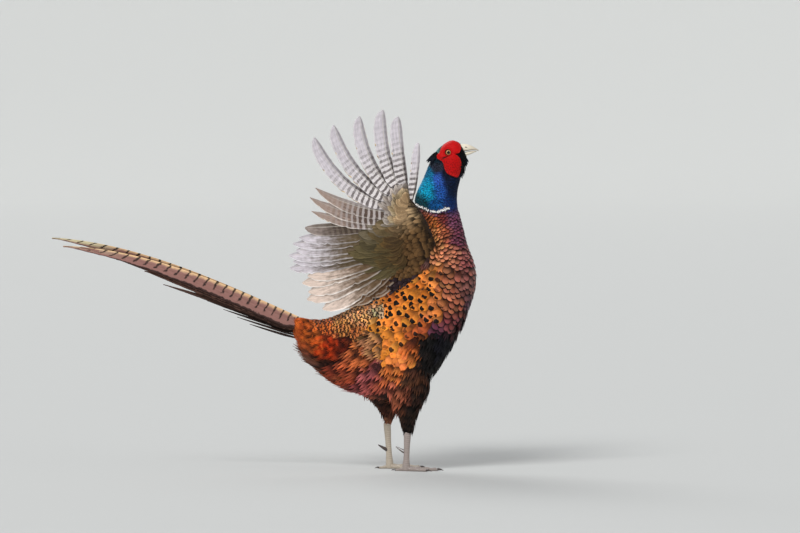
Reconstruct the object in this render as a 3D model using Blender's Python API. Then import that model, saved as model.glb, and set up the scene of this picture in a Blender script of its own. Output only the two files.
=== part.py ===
"""A cock common pheasant at life size, standing upright with both wings raised.

+X is the way the bird faces, +Y its left and +Z up. The floor is z = 0, and the
origin is on the floor at the middle of the bird's length and span.
Sizes are in millimetres until a mesh is made, which turns them to metres.
"""

import math

import bmesh
import bpy
import numpy as np
from mathutils import Vector
from mathutils.bvhtree import BVHTree

MM = 0.001
GAP = 0.3  # between nodes that touch
RIGHT, LEFT = -1.0, 1.0
SIDE_NAMES = {RIGHT: "right", LEFT: "left"}

# The trunk's outline from the tail root to the base of the bill, as sections.
# Each is (dorsal x, dorsal z, ventral x, ventral z, half width).
TRUNK = {
    "tail_root": (47, 228, 47, 198, 14),
    "vent": (91, 228, 70, 157, 33),
    "rump": (139, 250, 134, 115, 51),
    "loins": (190, 282, 216, 109, 60),
    "back": (235, 312, 277, 180, 59),
    "shoulders": (250, 340, 316, 277, 45),
    "neck_base": (238, 373, 302, 340, 32),
    "collar": (223, 403, 288, 402, 27.5),
    "throat": (238, 441, 294, 442, 22.5),
    "nape": (247, 463, 298, 455, 20),
    "ear": (258, 481, 300.5, 463.5, 19),
    "brow": (276, 493.5, 302, 466.5, 16.5),
    "forehead": (286.5, 493, 301.5, 469, 12),
    "bill_base": (293, 488.3, 300.5, 472, 8),
}
TRUNK_POINTS = 20  # round each section
TRUNK_FULLNESS = 0.87  # 1 makes a section an ellipse, and less makes it fuller
RINGS_A_STEP = 3  # from one section to the next
HEAD_FROM, NECK_FROM, TORSO_FROM = 8.55, 5.9, 2.0  # places along TRUNK, counted from 0
TRUNK_END = len(TRUNK) - 1

# The bill, as sections along its length from inside the head to near its tip.
BILL_UPPER = (
    (291, 489.4, 296.0, 477.2, 6.8),
    (297, 489.3, 299.5, 477.8, 6.3),
    (303, 488.6, 304.5, 478.8, 5.6),
    (309, 486.5, 310.0, 479.7, 4.4),
    (315, 483.0, 315.5, 479.8, 2.8),
    (319.6, 479.9, 319.4, 478.4, 0.9),
)
BILL_LOWER = (
    (295.0, 476.5, 296.5, 470.8, 5.6),
    (300.0, 477.2, 301.0, 471.6, 5.3),
    (304.5, 478.2, 305.0, 472.8, 4.7),
    (310.0, 479.0, 310.3, 474.8, 3.4),
    (314.5, 479.1, 314.6, 476.9, 2.0),
    (316.8, 478.9, 316.8, 478.0, 0.8),
)
BILL_POINTS = 12
NOSTRIL_AT, NOSTRIL_SIZE = (299.8, 5.9, 484.6), (2.6, 1.0, 0.8)

EYE_AT, EYE_RADIUS, EYE_SINK = (273.7, 476.6), 5.4, 1.9
# The red face's reach from the eye, by the direction in degrees from ahead, upwards positive.
FACE_REACH = (
    (0, 15), (8, 20), (30, 21), (62, 21), (90, 17), (135, 14), (180, 15), (214, 17.5),
    (250, 27), (272, 34), (289, 39), (305, 35), (322, 27.5), (340, 19),
)
FACE_BULGE, LID_RISE, FACE_EDGE, FACE_SUNK = 2.6, 1.2, 0.7, 2.0
# A crease runs back and forward from the eye, and parts the face's upper and lower lobes.
CREASE_TURNS, CREASE_SPREAD, CREASE_DEPTH = (0.0, 207.0), 15.0, 0.6
LID_HOLE, LID_GAP = 4.2, 0.35  # the lids' opening, before the eye's own shape is cut from them
FACE_TURNS, FACE_STEPS = 24, 3
FACE_LEAST_Y = 8.5
TUFT_ROOT, TUFT_Y, TUFT_LOCKS = (259.0, 474.0), 11.5, 3
TUFT_LENGTH, TUFT_STEP, TUFT_WIDTH, TUFT_BEND = 23.0, 1.5, 7.0, 1.5

# The wing is a curved sheet, drawn from the side and pushed out from the body by its height.
SHOULDER = (253.0, 309.0)
SHEET_UP = (-0.5, 0.866)  # the way, in x and z, in which the sheet leans out
SHEET_ROOT, SHEET_LEAN, SHEET_CURL = 31.0, 0.35, 0.0014
FAR_WING_DROP, FAR_WING_FROM = 0.07, 62.0  # the left wing is carried a little lower, out past the trunk

# The fleshy part of the wing as (front x, front z, rear x, rear z, half thickness).
FLESH = (
    (262, 285, 196, 268, 6.0),
    (255, 312, 199, 292, 9.0),
    (247, 342, 201, 318, 8.5),
    (236, 370, 203, 345, 7.5),
    (226, 390, 204, 371, 6.5),
    (221, 405, 207, 391, 5.0),
    (219, 417, 212, 408, 3.0),
)
FLESH_STEPS, FLESH_POINTS = 2, 10
# The wing is in two nodes, which part along this line and then between two feathers.
WING_PARTING = ((245, 406), (222, 388), (208, 377.5))

# Each primary, from the outermost in: its tip's direction from straight up towards
# the tail in degrees, its length seen from the side and its bend in degrees.
PRIMARIES = (
    (-8, 88, -12), (7, 128, 10), (15, 145, 37), (28, 152, 48), (41, 166, 50),
    (51, 176, 57), (74, 141, 36), (79, 146, 42), (86, 141, 42), (95, 151, 9),
)
PRIMARY_ROOTS = ((215, 408), (211, 380))
# The secondaries and tertials, by their tips' places in x and z. Every third one reaches
# them, and those between fall a little short.
INNER_COUNT, INNER_SHORT, INNER_BEND = 13, 6.0, 8.0
INNER_TIPS = ((45, 348), (39, 319), (59, 294), (60, 266), (90, 256))
INNER_ROOTS = ((212, 371), (210, 347), (209, 322), (208, 304))
VANE_FRONT, VANE_REAR = 5.6, 14.0  # a flight feather's narrow and broad webs
OUTERMOST_WIDER, INNER_WIDER = 0.7, 1.2
VANE_EDGE, SHAFT_ROOT, SHAFT_TIP = 0.3, 0.7, 0.35  # half thicknesses
STEP_OUT = 1.5  # from one flight feather to the next over it
# How wide a web is along a feather, by share of its length.
WEB = ((0.0, 0.14), (0.1, 0.3), (0.28, 0.93), (0.52, 1.0), (0.78, 0.98), (0.93, 0.74), (1.0, 0.22))
INNER_WEB = ((0.0, 0.2), (0.13, 0.45), (0.35, 1.0), (0.76, 0.98), (0.93, 0.74), (1.0, 0.22))
COVERT_WEB = ((0.0, 0.35), (0.6, 1.0), (1.0, 0.4))
COVERT_REACHES, COVERT_WIDER = {5.4: 0.42, -5.6: 0.48}, 1.1  # by how far off the flight feathers

# The tail: nine pairs from the longest, in the middle, out. The middle pair's two
# feathers differ a little. Its ridge leaves the rump at TAIL_RIDGE.
TAIL_LENGTHS = (384, 338, 283, 238, 206, 180, 158, 141, 128)
TAIL_SHORTER = 17.0
TAIL_RIDGE = (43.0, 233.0)
TAIL_RISE, TAIL_DROOP = 24.5, 21.0  # degrees at the root, and lost by the longest tip
TAIL_FAN = 0.9  # degrees that each pair points lower than the one above it
TAIL_ROOF = 60.0  # the slope of the webs, in degrees
TAIL_WIDTH, TAIL_NARROWER, TAIL_INNER = 27.0, 0.25, 0.42
TAIL_RIDGE_Y = 1.0
TAIL_SPREAD, TAIL_STACK, TAIL_STEP_DOWN = 0.5, 1.15, 1.5  # from one pair to the next below it
TAIL_SHORTER_LOWER = 1.2
TAIL_HALVES = (0.28, 0.36)  # half thickness at the edges and the shaft
TAIL_RINGS, SHORT_TAIL_RINGS, SHORT_TAIL = 8, 5, 220.0
# The core that holds the quills, as (dorsal x, dorsal z, ventral x, ventral z, half width).
TAIL_CORE = (
    (47.5, 229, 47.5, 203, 11),
    (30, 236, 33, 208, 8.5),
    (12, 242, 17, 219, 5.5),
    (-8, 246, -3, 233, 2.0),
)

# Rows of shaggy locks: the place along the trunk, the turn round the section from the
# back in degrees, the length and the width. The thighs have a ring of them near the hock.
RUMP_LOCKS = (
    (0.45, 168, 24, 12),
    (0.75, 150, 26, 13),
    (1.1, 172, 27, 14),
    (1.2, 146, 26, 14),
    (1.6, 165, 24, 15),
)
LOCK_SUNK = 6.0
LOCK_BACK = (-1.0, 0.0, -0.45)  # the way that gravity and the lie carry their tips
LOCK_SHARES = (0.0, 0.3, 0.6, 0.85, 1.0)
THIGH_LOCKS, THIGH_LOCK_LENGTH, THIGH_LOCK_WIDTH = 6, 20.0, 9.0
THIGH_LOCK_PLACE, THIGH_LOCK_SUNK = 4.2, 2.5  # the place is counted in rows of THIGH

HOCK_Z, ANKLE_Z = {RIGHT: 54.0, LEFT: 64.0}, 9.0
LEG_Y = 31.0
# Each thigh as (rear x, front x, z, half width).
THIGH = {
    RIGHT: ((212, 240, 176, 12), (190, 247, 155, 22), (176, 248, 128, 26), (186, 241, 108, 21),
            (196, 231, 88, 13), (201, 227, 73, 9.5), (204, 224, 62, 6.5), (207, 219, 54.3, 5.0)),
    LEFT: ((180, 215, 176, 12), (156, 220, 155, 22), (140, 218, 128, 26), (150, 212, 110, 21),
           (166, 204, 94, 14), (174, 197, 82, 9.5), (176.5, 191, 72, 6.5), (177.0, 188.5, 64.3, 5.0)),
}
THIGH_POINTS, SHANK_POINTS = 16, 12
SHANK_TOP = {RIGHT: 212.8, LEFT: 182.6}
SHANK_FOOT = {RIGHT: 211.0, LEFT: 186.0}
SHANK_RADIUS = (4.7, 4.3, 3.9, 3.8, 4.0, 4.9)
SHANK_DEPTH = 1.15  # how much deeper than wide it is
# Each toe: its direction in degrees from ahead, towards the midline positive, its
# length and its radius at the root. Each has pads along it.
TOES = {"inner": (32, 33, 3.7), "middle": (0, 46, 4.1), "outer": (-34, 36, 3.7), "hind": (166, 16, 3.0)}
PAD_LENGTH, PAD_SWELL, TOE_TAPER, TOE_POINTS = 12.5, 0.09, 0.42, 7
# The ankle from its top down, by height and half width.
ANKLE = ((ANKLE_Z - GAP / 2, 4.8), (6.0, 5.0), (3.0, 5.4), (-1.0, 4.6))
CLAW_LENGTH, CLAW_TIP, CLAW_POINTS = 9.5, 0.35, 8
CLAW_TAPER = ((0.0, 1.0), (0.35, 0.8), (0.7, 0.48))  # by share of its length
HIND_CLAW = 0.7  # its length, by the others'
SPUR_Z, SPUR_LENGTH, SPUR_RADIUS, SPUR_SUNK = 27.0, 14.0, 2.7, 4.5
SPUR_RISE, SPUR_IN, SPUR_CURL = 24.0, 18.0, 1.6
SPUR_TAPER = ((0.0, 1.25), (0.45, 0.9), (0.75, 0.6), (1.0, 0.2))

COLOURS = {
    "plumage": (0.30, 0.10, 0.03), "blue_neck": (0.01, 0.08, 0.16), "red_face": (0.65, 0.01, 0.01),
    "horn": (0.75, 0.70, 0.58), "eye": (0.55, 0.30, 0.06), "flight": (0.42, 0.36, 0.30),
    "tail": (0.40, 0.27, 0.15), "skin": (0.36, 0.31, 0.29), "claw": (0.10, 0.08, 0.07),
}


def material(slot, roughness=0.6):
    """The Principled material of one slot."""
    found = bpy.data.materials.get(slot)
    if found:
        return found
    made = bpy.data.materials.new(slot)
    made.use_nodes = True
    shader = made.node_tree.nodes["Principled BSDF"]
    shader.inputs["Base Color"].default_value = (*COLOURS[slot], 1.0)
    shader.inputs["Roughness"].default_value = roughness
    shader.inputs["Metallic"].default_value = 0.0
    return made


def smooth_row(rows, place):
    """A Catmull-Rom curve through the rows of a table, read at a place counted in rows."""
    rows = np.asarray(rows, float)
    low = int(min(max(math.floor(place), 0), len(rows) - 2))
    share = place - low
    before, after = max(low - 1, 0), min(low + 2, len(rows) - 1)
    a, b, c, d = rows[before], rows[low], rows[low + 1], rows[after]
    second, third = 2 * a - 5 * b + 4 * c - d, 3 * b - a - 3 * c + d
    return 0.5 * (2 * b + (c - a) * share + second * share**2 + third * share**3)


def places(start, end, steps_a_row):
    """Places from start to end, with each whole row between them and even steps."""
    marks = sorted({start, end, *range(math.ceil(start), math.floor(end) + 1)})
    found = [start]
    for low, high in zip(marks, marks[1:]):
        count = max(1, round((high - low) * steps_a_row))
        found += [low + (high - low) * k / count for k in range(1, count + 1)]
    return found


def make_object(name, mesh_data, slot, turn=True):
    """An object of a bmesh, which is used up, with its faces turned outwards where asked."""
    if turn:
        bmesh.ops.recalc_face_normals(mesh_data, faces=mesh_data.faces)
    mesh = bpy.data.meshes.new(name)
    mesh_data.to_mesh(mesh)
    mesh_data.free()
    made = bpy.data.objects.new(name, mesh)
    bpy.context.scene.collection.objects.link(made)
    mesh.materials.append(material(slot))
    mesh.shade_smooth()
    return made


def bridge_rings(name, rings, slot):
    """One closed body through rings of equal point counts, with a flat cap on each end."""
    made = bmesh.new()
    loops = [[made.verts.new(Vector(p) * MM) for p in ring] for ring in rings]
    count = len(loops[0])
    for low, high in zip(loops, loops[1:]):
        for k in range(count):
            after = (k + 1) % count
            made.faces.new((low[k], low[after], high[after], high[k]))
    made.faces.new(loops[0][::-1])
    made.faces.new(loops[-1])
    return make_object(name, made, slot)


def angles_round(count):
    """Evenly spaced angles round a circle."""
    return np.arange(count) * 2 * math.pi / count


def fuller(value, power):
    """A sine or cosine raised to a power, with its sign kept."""
    return math.copysign(abs(value) ** power, value)


def section_ring(row, points, grow=0.0, power=1.0):
    """The oval between a dorsal and a ventral point, grown all round."""
    dorsal, ventral = np.array([row[0], 0, row[1]]), np.array([row[2], 0, row[3]])
    centre, half = (dorsal + ventral) / 2, (dorsal - ventral) / 2
    half = half * (1 + grow / np.linalg.norm(half))
    wide = np.array([0, row[4] + grow, 0])
    return [
        centre + half * fuller(math.cos(a), power) + wide * fuller(math.sin(a), power)
        for a in angles_round(points)
    ]


def trunk_piece(name, start, end, slot, grow=0.0):
    """The trunk from one place to another, less half the gap at a cut, and grown all round."""
    sections = [smooth_row(list(TRUNK.values()), p) for p in places(start, end, RINGS_A_STEP)]
    rings = [section_ring(row, TRUNK_POINTS, grow, TRUNK_FULLNESS) for row in sections]
    along = [np.mean(ring, axis=0) for ring in rings]
    for index, inner in ((0, 1), (-1, -2)):
        step = along[inner] - along[index]
        cut = 0 < (start, end)[index] < TRUNK_END
        step = step / np.linalg.norm(step) * (GAP * 0.75 if cut else -grow)
        rings[index] = [point + step for point in rings[index]]
    return bridge_rings(name, rings, slot)


def applied(target):
    """Replaces an object's mesh by what its modifiers make, and keeps its largest body."""
    graph = bpy.context.evaluated_depsgraph_get()
    fresh = bpy.data.meshes.new_from_object(target.evaluated_get(graph))
    target.modifiers.clear()
    target.data = fresh
    made = bmesh.new()
    made.from_mesh(fresh)
    unseen, bodies = set(made.verts), []
    while unseen:
        todo, body = [unseen.pop()], []
        while todo:
            vert = todo.pop()
            body.append(vert)
            for edge in vert.link_edges:
                other = edge.other_vert(vert)
                if other in unseen:
                    unseen.remove(other)
                    todo.append(other)
        bodies.append(body)
    bodies.sort(key=len)
    bmesh.ops.delete(made, geom=[v for body in bodies[:-1] for v in body], context="VERTS")
    made.to_mesh(fresh)
    made.free()
    return target


def boolean(target, others, operation, solver="MANIFOLD"):
    """Joins a collection of closed objects to a target, or cuts them from it, and removes them."""
    group = bpy.data.collections.new(target.name + "_pieces")
    bpy.context.scene.collection.children.link(group)
    for other in others:
        bpy.context.scene.collection.objects.unlink(other)
        group.objects.link(other)
        other.hide_render = True
        other.display_type = "WIRE"
    step = target.modifiers.new(operation, "BOOLEAN")
    step.operation, step.operand_type, step.solver = operation, "COLLECTION", solver
    step.collection = group
    bpy.context.view_layer.update()
    applied(target)
    for other in others:
        bpy.data.objects.remove(other)
    bpy.data.collections.remove(group)
    return target


def mirrored(target, name, drop=None):
    """The same shape on the bird's other side, lowered by drop(y) where given."""
    made = bmesh.new()
    made.from_mesh(target.data)
    for vert in made.verts:
        vert.co.y = -vert.co.y
        if drop:
            vert.co.z -= drop(vert.co.y / MM) * MM
    bmesh.ops.reverse_faces(made, faces=made.faces)
    return make_object(name, made, target.data.materials[0].name, False)


def turned(direction, degrees):
    """A direction in the x-z plane, turned from ahead towards up."""
    a = math.radians(degrees)
    x, z = direction
    return np.array([x * math.cos(a) - z * math.sin(a), x * math.sin(a) + z * math.cos(a)])


def vane_rings_to_object(name, rings, slot):
    """A thin web through rings of six points, split into triangles alike on both faces.

    Each ring runs front, shaft and rear on the outer face, then rear, shaft and front
    on the inner one.
    """
    made = bmesh.new()
    loops = [[made.verts.new(Vector(p) * MM) for p in ring] for ring in rings]
    for low, high in zip(loops, loops[1:]):
        for k in (0, 1):
            made.faces.new((low[k], low[k + 1], high[k + 1]))
            made.faces.new((low[k], high[k + 1], high[k]))
            inner, next_inner = 5 - k, 4 - k
            made.faces.new((low[next_inner], low[inner], high[next_inner]))
            made.faces.new((low[inner], high[inner], high[next_inner]))
        for front, back in ((2, 3), (5, 0)):
            made.faces.new((low[front], low[back], high[back], high[front]))
    for loop in (loops[0], loops[-1]):
        made.faces.new((loop[0], loop[1], loop[4], loop[5]))
        made.faces.new((loop[1], loop[2], loop[3], loop[4]))
    return make_object(name, made, slot)


def sheet_out(x, z):
    """How far out from the bird's middle the wing is at a point, and the stretch of its slope."""
    up = (x - SHOULDER[0]) * SHEET_UP[0] + (z - SHOULDER[1]) * SHEET_UP[1]
    rise = max(up, 0.0)
    out = SHEET_ROOT + SHEET_LEAN * up + SHEET_CURL * rise**2
    slope = SHEET_LEAN + 2 * SHEET_CURL * rise
    return out, math.hypot(1.0, slope)


def on_sheet(point, off):
    """The 3-D place on the right wing of a point seen from the side, off its middle surface."""
    out, stretch = sheet_out(point[0], point[1])
    return np.array([point[0], RIGHT * (out + off * stretch), point[1]])


class Flight:
    """A flight feather's shaft, seen from the side."""

    def __init__(self, root, tip, bend, wider):
        self.root, self.tip, self.wider = np.array(root, float), np.array(tip, float), wider
        chord = self.tip - self.root
        inward = np.array([-chord[1], chord[0]])
        self.knee = (self.root + self.tip) / 2 + inward * math.tan(math.radians(bend) / 2) / 2

    def at(self, share):
        """The shaft's point at a share of its length."""
        return (
            self.root * (1 - share) ** 2 + self.knee * 2 * share * (1 - share) + self.tip * share**2
        )

    def across(self, share):
        """The way across the shaft, towards the rear web."""
        along = (self.knee - self.root) * (1 - share) + (self.tip - self.knee) * share
        along = along / np.linalg.norm(along)
        return np.array([-along[1], along[0]])


def flights():
    """Every flight feather of the right wing, from the outermost primary to the last tertial."""
    found = []
    for k, (turn, length, bend) in enumerate(PRIMARIES):
        root = smooth_row(PRIMARY_ROOTS, k / (len(PRIMARIES) - 1))
        tip = root + turned((0.0, 1.0), turn) * length
        found.append(Flight(root, tip, bend, 1.0 if k else OUTERMOST_WIDER))
    for k in range(INNER_COUNT):
        share = k / (INNER_COUNT - 1)
        root = smooth_row(INNER_ROOTS, share * (len(INNER_ROOTS) - 1))
        tip = smooth_row(INNER_TIPS, share * (len(INNER_TIPS) - 1))
        if k % 3:
            tip = tip + (root - tip) / np.linalg.norm(root - tip) * INNER_SHORT
        found.append(Flight(root, tip, INNER_BEND, INNER_WIDER))
    return found


def spacing(row, k, share):
    """How far a feather's shaft is from the next one's, at a share of their length."""
    near, other = (row[k], row[k + 1]) if k + 1 < len(row) else (row[k], row[k - 1])
    return max(3.0, float(np.linalg.norm(near.at(share) - other.at(share))))


def wing_vane(name, row, k, web=WEB, reach=1.0, wider=1.0, off=0.0):
    """One feather of the wing as a thin web."""
    feather, made = row[k], []
    for share, wide in web:
        place = share * reach
        wide = wide * wider * feather.wider
        front, rear = VANE_FRONT * wide, VANE_REAR * wide
        apart = spacing(row, k, place)
        thick = SHAFT_ROOT + (SHAFT_TIP - SHAFT_ROOT) * share
        ring = []
        for across, half in ((-front, VANE_EDGE), (0.0, thick), (rear, VANE_EDGE)):
            point = feather.at(place) + feather.across(place) * across
            over = STEP_OUT * across / apart + off
            ring.append((point, over, half))
        outer = [on_sheet(p, over + half) for p, over, half in ring]
        inner = [on_sheet(p, over - half) for p, over, half in ring[::-1]]
        made.append(outer + inner)
    return vane_rings_to_object(name, made, "flight")


def flesh(name):
    """The flesh and small coverts of the right wing."""
    rings = []
    for place in places(0, len(FLESH) - 1, FLESH_STEPS):
        front_x, front_z, rear_x, rear_z, half = smooth_row(FLESH, place)
        front, rear = np.array([front_x, front_z]), np.array([rear_x, rear_z])
        ring = []
        for a in angles_round(FLESH_POINTS):
            point = (front + rear) / 2 + (front - rear) / 2 * math.cos(a)
            ring.append(on_sheet(point, half * math.sin(a)))
        rings.append(ring)
    return bridge_rings(name, rings, "flight")


def parting(row):
    """A thin wall that parts the wing's two nodes."""
    last, first = row[len(PRIMARIES) - 1], row[len(PRIMARIES)]
    path = [np.array(p, float) for p in WING_PARTING]
    path += [(last.at(share) + first.at(share)) / 2 for share in (0.2, 0.45, 0.7, 1.0)]
    path.append(path[-1] * 1.5 - path[-2] * 0.5)
    rings = []
    for k, point in enumerate(path):
        along = path[min(k + 1, len(path) - 1)] - path[max(k - 1, 0)]
        across = np.array([-along[1], along[0]]) / np.linalg.norm(along) * GAP * 0.6
        ring = []
        for way, y in ((1, -5.0), (1, -400.0), (-1, -400.0), (-1, -5.0)):
            x, z = point + across * way
            ring.append((x, y, z))
        rings.append(ring)
    return bridge_rings("parting", rings, "flight")


def wing_half(name, row, numbers):
    """One node of the right wing: flesh, flight feathers and a tier of coverts on each face."""
    node, pieces = flesh(name), []
    for k in numbers:
        web = WEB if k < len(PRIMARIES) else INNER_WEB
        pieces.append(wing_vane("vane", row, k, web))
        if k % 2 == 0:
            for off, reach in COVERT_REACHES.items():
                pieces.append(wing_vane("covert", row, k, COVERT_WEB, reach, COVERT_WIDER, off))
    boolean(node, pieces, "UNION")
    trunk = trunk_piece("clearance", 0, TRUNK_END, "plumage", GAP)
    return boolean(node, [trunk, parting(row)], "DIFFERENCE")


def make_wings():
    """Both wings, each in two nodes, cut clear of the trunk."""
    row = flights()
    hand = wing_half("wing_right_hand", row, range(len(PRIMARIES)))
    arm = wing_half("wing_right_arm", row, range(len(PRIMARIES), len(row)))

    def drop(y):
        return FAR_WING_DROP * max(0.0, abs(y) - FAR_WING_FROM)

    mirrored(hand, "wing_left_hand", drop)
    mirrored(arm, "wing_left_arm", drop)


def tail_rise(share, pair):
    """The slope of a tail feather in degrees, at a share of the longest one's length."""
    return TAIL_RISE - TAIL_FAN * pair - TAIL_DROOP * share**2.2


def tail_vane(side, pair):
    """One tail feather, its inner edge at the ridge and its outer edge hanging."""
    length = TAIL_LENGTHS[pair] - (TAIL_SHORTER if side == RIGHT and pair == 0 else 0.0)
    roof = math.radians(TAIL_ROOF)
    out, down = math.cos(roof), math.sin(roof)
    lowered = TAIL_STACK * pair / out + TAIL_STEP_DOWN * pair
    x, z = TAIL_RIDGE[0], TAIL_RIDGE[1] - lowered
    if side == RIGHT and pair == 0:
        z -= TAIL_SHORTER_LOWER
    rings, last = [], 0.0
    steps = SHORT_TAIL_RINGS if length < SHORT_TAIL else TAIL_RINGS
    root_wide = TAIL_WIDTH * (1 - TAIL_NARROWER * pair / len(TAIL_LENGTHS))
    for share in np.linspace(0.0, 1.0, steps) ** 0.9:
        slope = math.radians(tail_rise(length * (share + last) / 2 / TAIL_LENGTHS[0], pair))
        x -= math.cos(slope) * length * (share - last)
        z += math.sin(slope) * length * (share - last)
        last = share
        grown = min(1.0, 0.4 + share / 0.15)
        wide = root_wide * grown * max(0.07, 1 - share**2.2) ** 0.8
        ring, (edge, shaft) = [], TAIL_HALVES
        for across, half in ((0.0, edge), (wide * TAIL_INNER, shaft), (wide, edge)):
            half = half * (1 - 0.3 * share)
            ring.append((TAIL_RIDGE_Y + TAIL_SPREAD * pair + across * out, z - across * down, half))
        outer = [np.array([x, side * (y + h * down), up + h * out]) for y, up, h in ring]
        under = [np.array([x, side * (y - h * down), up - h * out]) for y, up, h in ring[::-1]]
        rings.append(outer + under)
    return vane_rings_to_object(f"tail_vane_{pair}_{side}", rings, "tail")


def oval_loft(name, rows, points, slot):
    """One body through (dorsal x, dorsal z, ventral x, ventral z, half width) sections."""
    return bridge_rings(name, [section_ring(row, points) for row in rows], slot)


def make_tail():
    """The tail in one node, its quills joined in a core."""
    core, vanes = oval_loft("tail", TAIL_CORE, TRUNK_POINTS, "tail"), []
    for pair in range(len(TAIL_LENGTHS)):
        vanes += [tail_vane(side, pair) for side in (RIGHT, LEFT)]
    boolean(core, vanes, "UNION")
    boolean(core, [trunk_piece("clearance", 0, TORSO_FROM, "plumage", GAP)], "DIFFERENCE")


def ball(name, centre, size, slot, segments=12, rings=8):
    """An ellipsoid."""
    made = bmesh.new()
    bmesh.ops.create_uvsphere(made, u_segments=segments, v_segments=rings, radius=1.0)
    for vert in made.verts:
        vert.co = Vector([(c + v * r) * MM for c, v, r in zip(centre, vert.co, size)])
    return make_object(name, made, slot)


def lock(name, root, way, flat, length, width, bend, slot):
    """A flat tapered lock of feathers, curving towards the way that its flat side faces."""
    root, way, flat = (Vector(v) for v in (root, way, flat))
    way.normalize()
    flat = (flat - way * flat.dot(way)).normalized()
    across = way.cross(flat)
    rings = []
    for share in LOCK_SHARES:
        centre = root + way * length * share + flat * bend * share**2
        wide = width / 2 * (0.75 + 0.25 * math.sin(math.pi * share)) * max(0.12, 1 - share**2.5)
        thick = max(0.3, width * 0.16 * (1 - share * 0.8))
        offsets = (across * wide, flat * thick, across * -wide, flat * -thick)
        rings.append([centre + offset for offset in offsets])
    return bridge_rings(name, rings, slot)


def rump_locks():
    """The shaggy undertail coverts on both sides of the rump."""
    rows, locks = list(TRUNK.values()), []
    for place, turn, length, width in RUMP_LOCKS:
        here = section_ring(smooth_row(rows, place), 360, 0.0, TRUNK_FULLNESS)
        back = section_ring(smooth_row(rows, place - 0.1), 360, 0.0, TRUNK_FULLNESS)
        for side in SIDE_NAMES:
            k = turn if side == LEFT else 360 - turn
            point, way = here[k], back[k] - here[k]
            out = point - np.mean(here, axis=0)
            out = out / np.linalg.norm(out)
            way = way / np.linalg.norm(way) + np.array(LOCK_BACK)
            way = way / np.linalg.norm(way)
            root = point - out * LOCK_SUNK * 0.4 - way * LOCK_SUNK
            locks.append(lock("lock", root, way, out, length, width, -2.0, "plumage"))
    return locks


def trunk_tree():
    """A tree for casting rays at the whole trunk, in millimetres."""
    probe = trunk_piece("probe", 0, TRUNK_END, "plumage")
    points = [v.co / MM for v in probe.data.vertices]
    faces = [tuple(face.vertices) for face in probe.data.polygons]
    bpy.data.objects.remove(probe)
    return BVHTree.FromPolygons(points, faces)


def side_at(tree, x, z):
    """How far out the surface is at a point seen from the side, or nothing off its edge."""
    hit = tree.ray_cast(Vector((x, -200.0, z)), Vector((0, 1, 0)))[0]
    return abs(hit.y) if hit else None


def face_plate(tree):
    """The right side's bare red skin, a raised plate round the eye."""
    turns = [360 * k / FACE_TURNS for k in range(FACE_TURNS)]
    angles = [a for a, _ in FACE_REACH]
    reaches = [r for _, r in FACE_REACH]
    rows_out, rows_in = [], []
    for turn in turns:
        reach = float(np.interp(turn, angles + [360 + angles[0]], reaches + [reaches[0]]))
        way = np.array([math.cos(math.radians(turn)), math.sin(math.radians(turn))])
        found = None
        while found is None or found < FACE_LEAST_Y:
            reach -= 0.5
            found = side_at(tree, *(np.array(EYE_AT) + way * reach))
        outer, inner = [], []
        off = min(abs((turn - crease + 180) % 360 - 180) for crease in CREASE_TURNS)
        bulge = (FACE_BULGE - LID_RISE) * (1 - CREASE_DEPTH * math.exp(-((off / CREASE_SPREAD) ** 2)))
        for step in range(FACE_STEPS + 1):
            share = step / FACE_STEPS
            far = LID_HOLE + (reach - LID_HOLE) * share
            rise = LID_RISE + bulge * math.sin(math.pi * min(1.0, share * 1.15)) ** 0.8
            if step == FACE_STEPS:
                rise = FACE_EDGE
            x, z = np.array(EYE_AT) + way * far
            outer.append((x, -(side_at(tree, x, z) + GAP + rise), z))
            inner.append((x, -(side_at(tree, x, z) - FACE_SUNK), z))
        rows_out.append(outer)
        rows_in.append(inner)
    made = bmesh.new()
    out = [[made.verts.new(Vector(p) * MM) for p in row] for row in rows_out]
    under = [[made.verts.new(Vector(p) * MM) for p in row] for row in rows_in]
    for k in range(FACE_TURNS):
        after = (k + 1) % FACE_TURNS
        for step in range(FACE_STEPS):
            for grid in (out, under):
                corner = [grid[k][step], grid[after][step], grid[after][step + 1], grid[k][step + 1]]
                made.faces.new((corner[0], corner[1], corner[2]))
                made.faces.new((corner[0], corner[2], corner[3]))
        for step in (0, FACE_STEPS):
            made.faces.new((out[k][step], out[after][step], under[after][step], under[k][step]))
    return make_object("wattle_right", made, "red_face")


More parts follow.
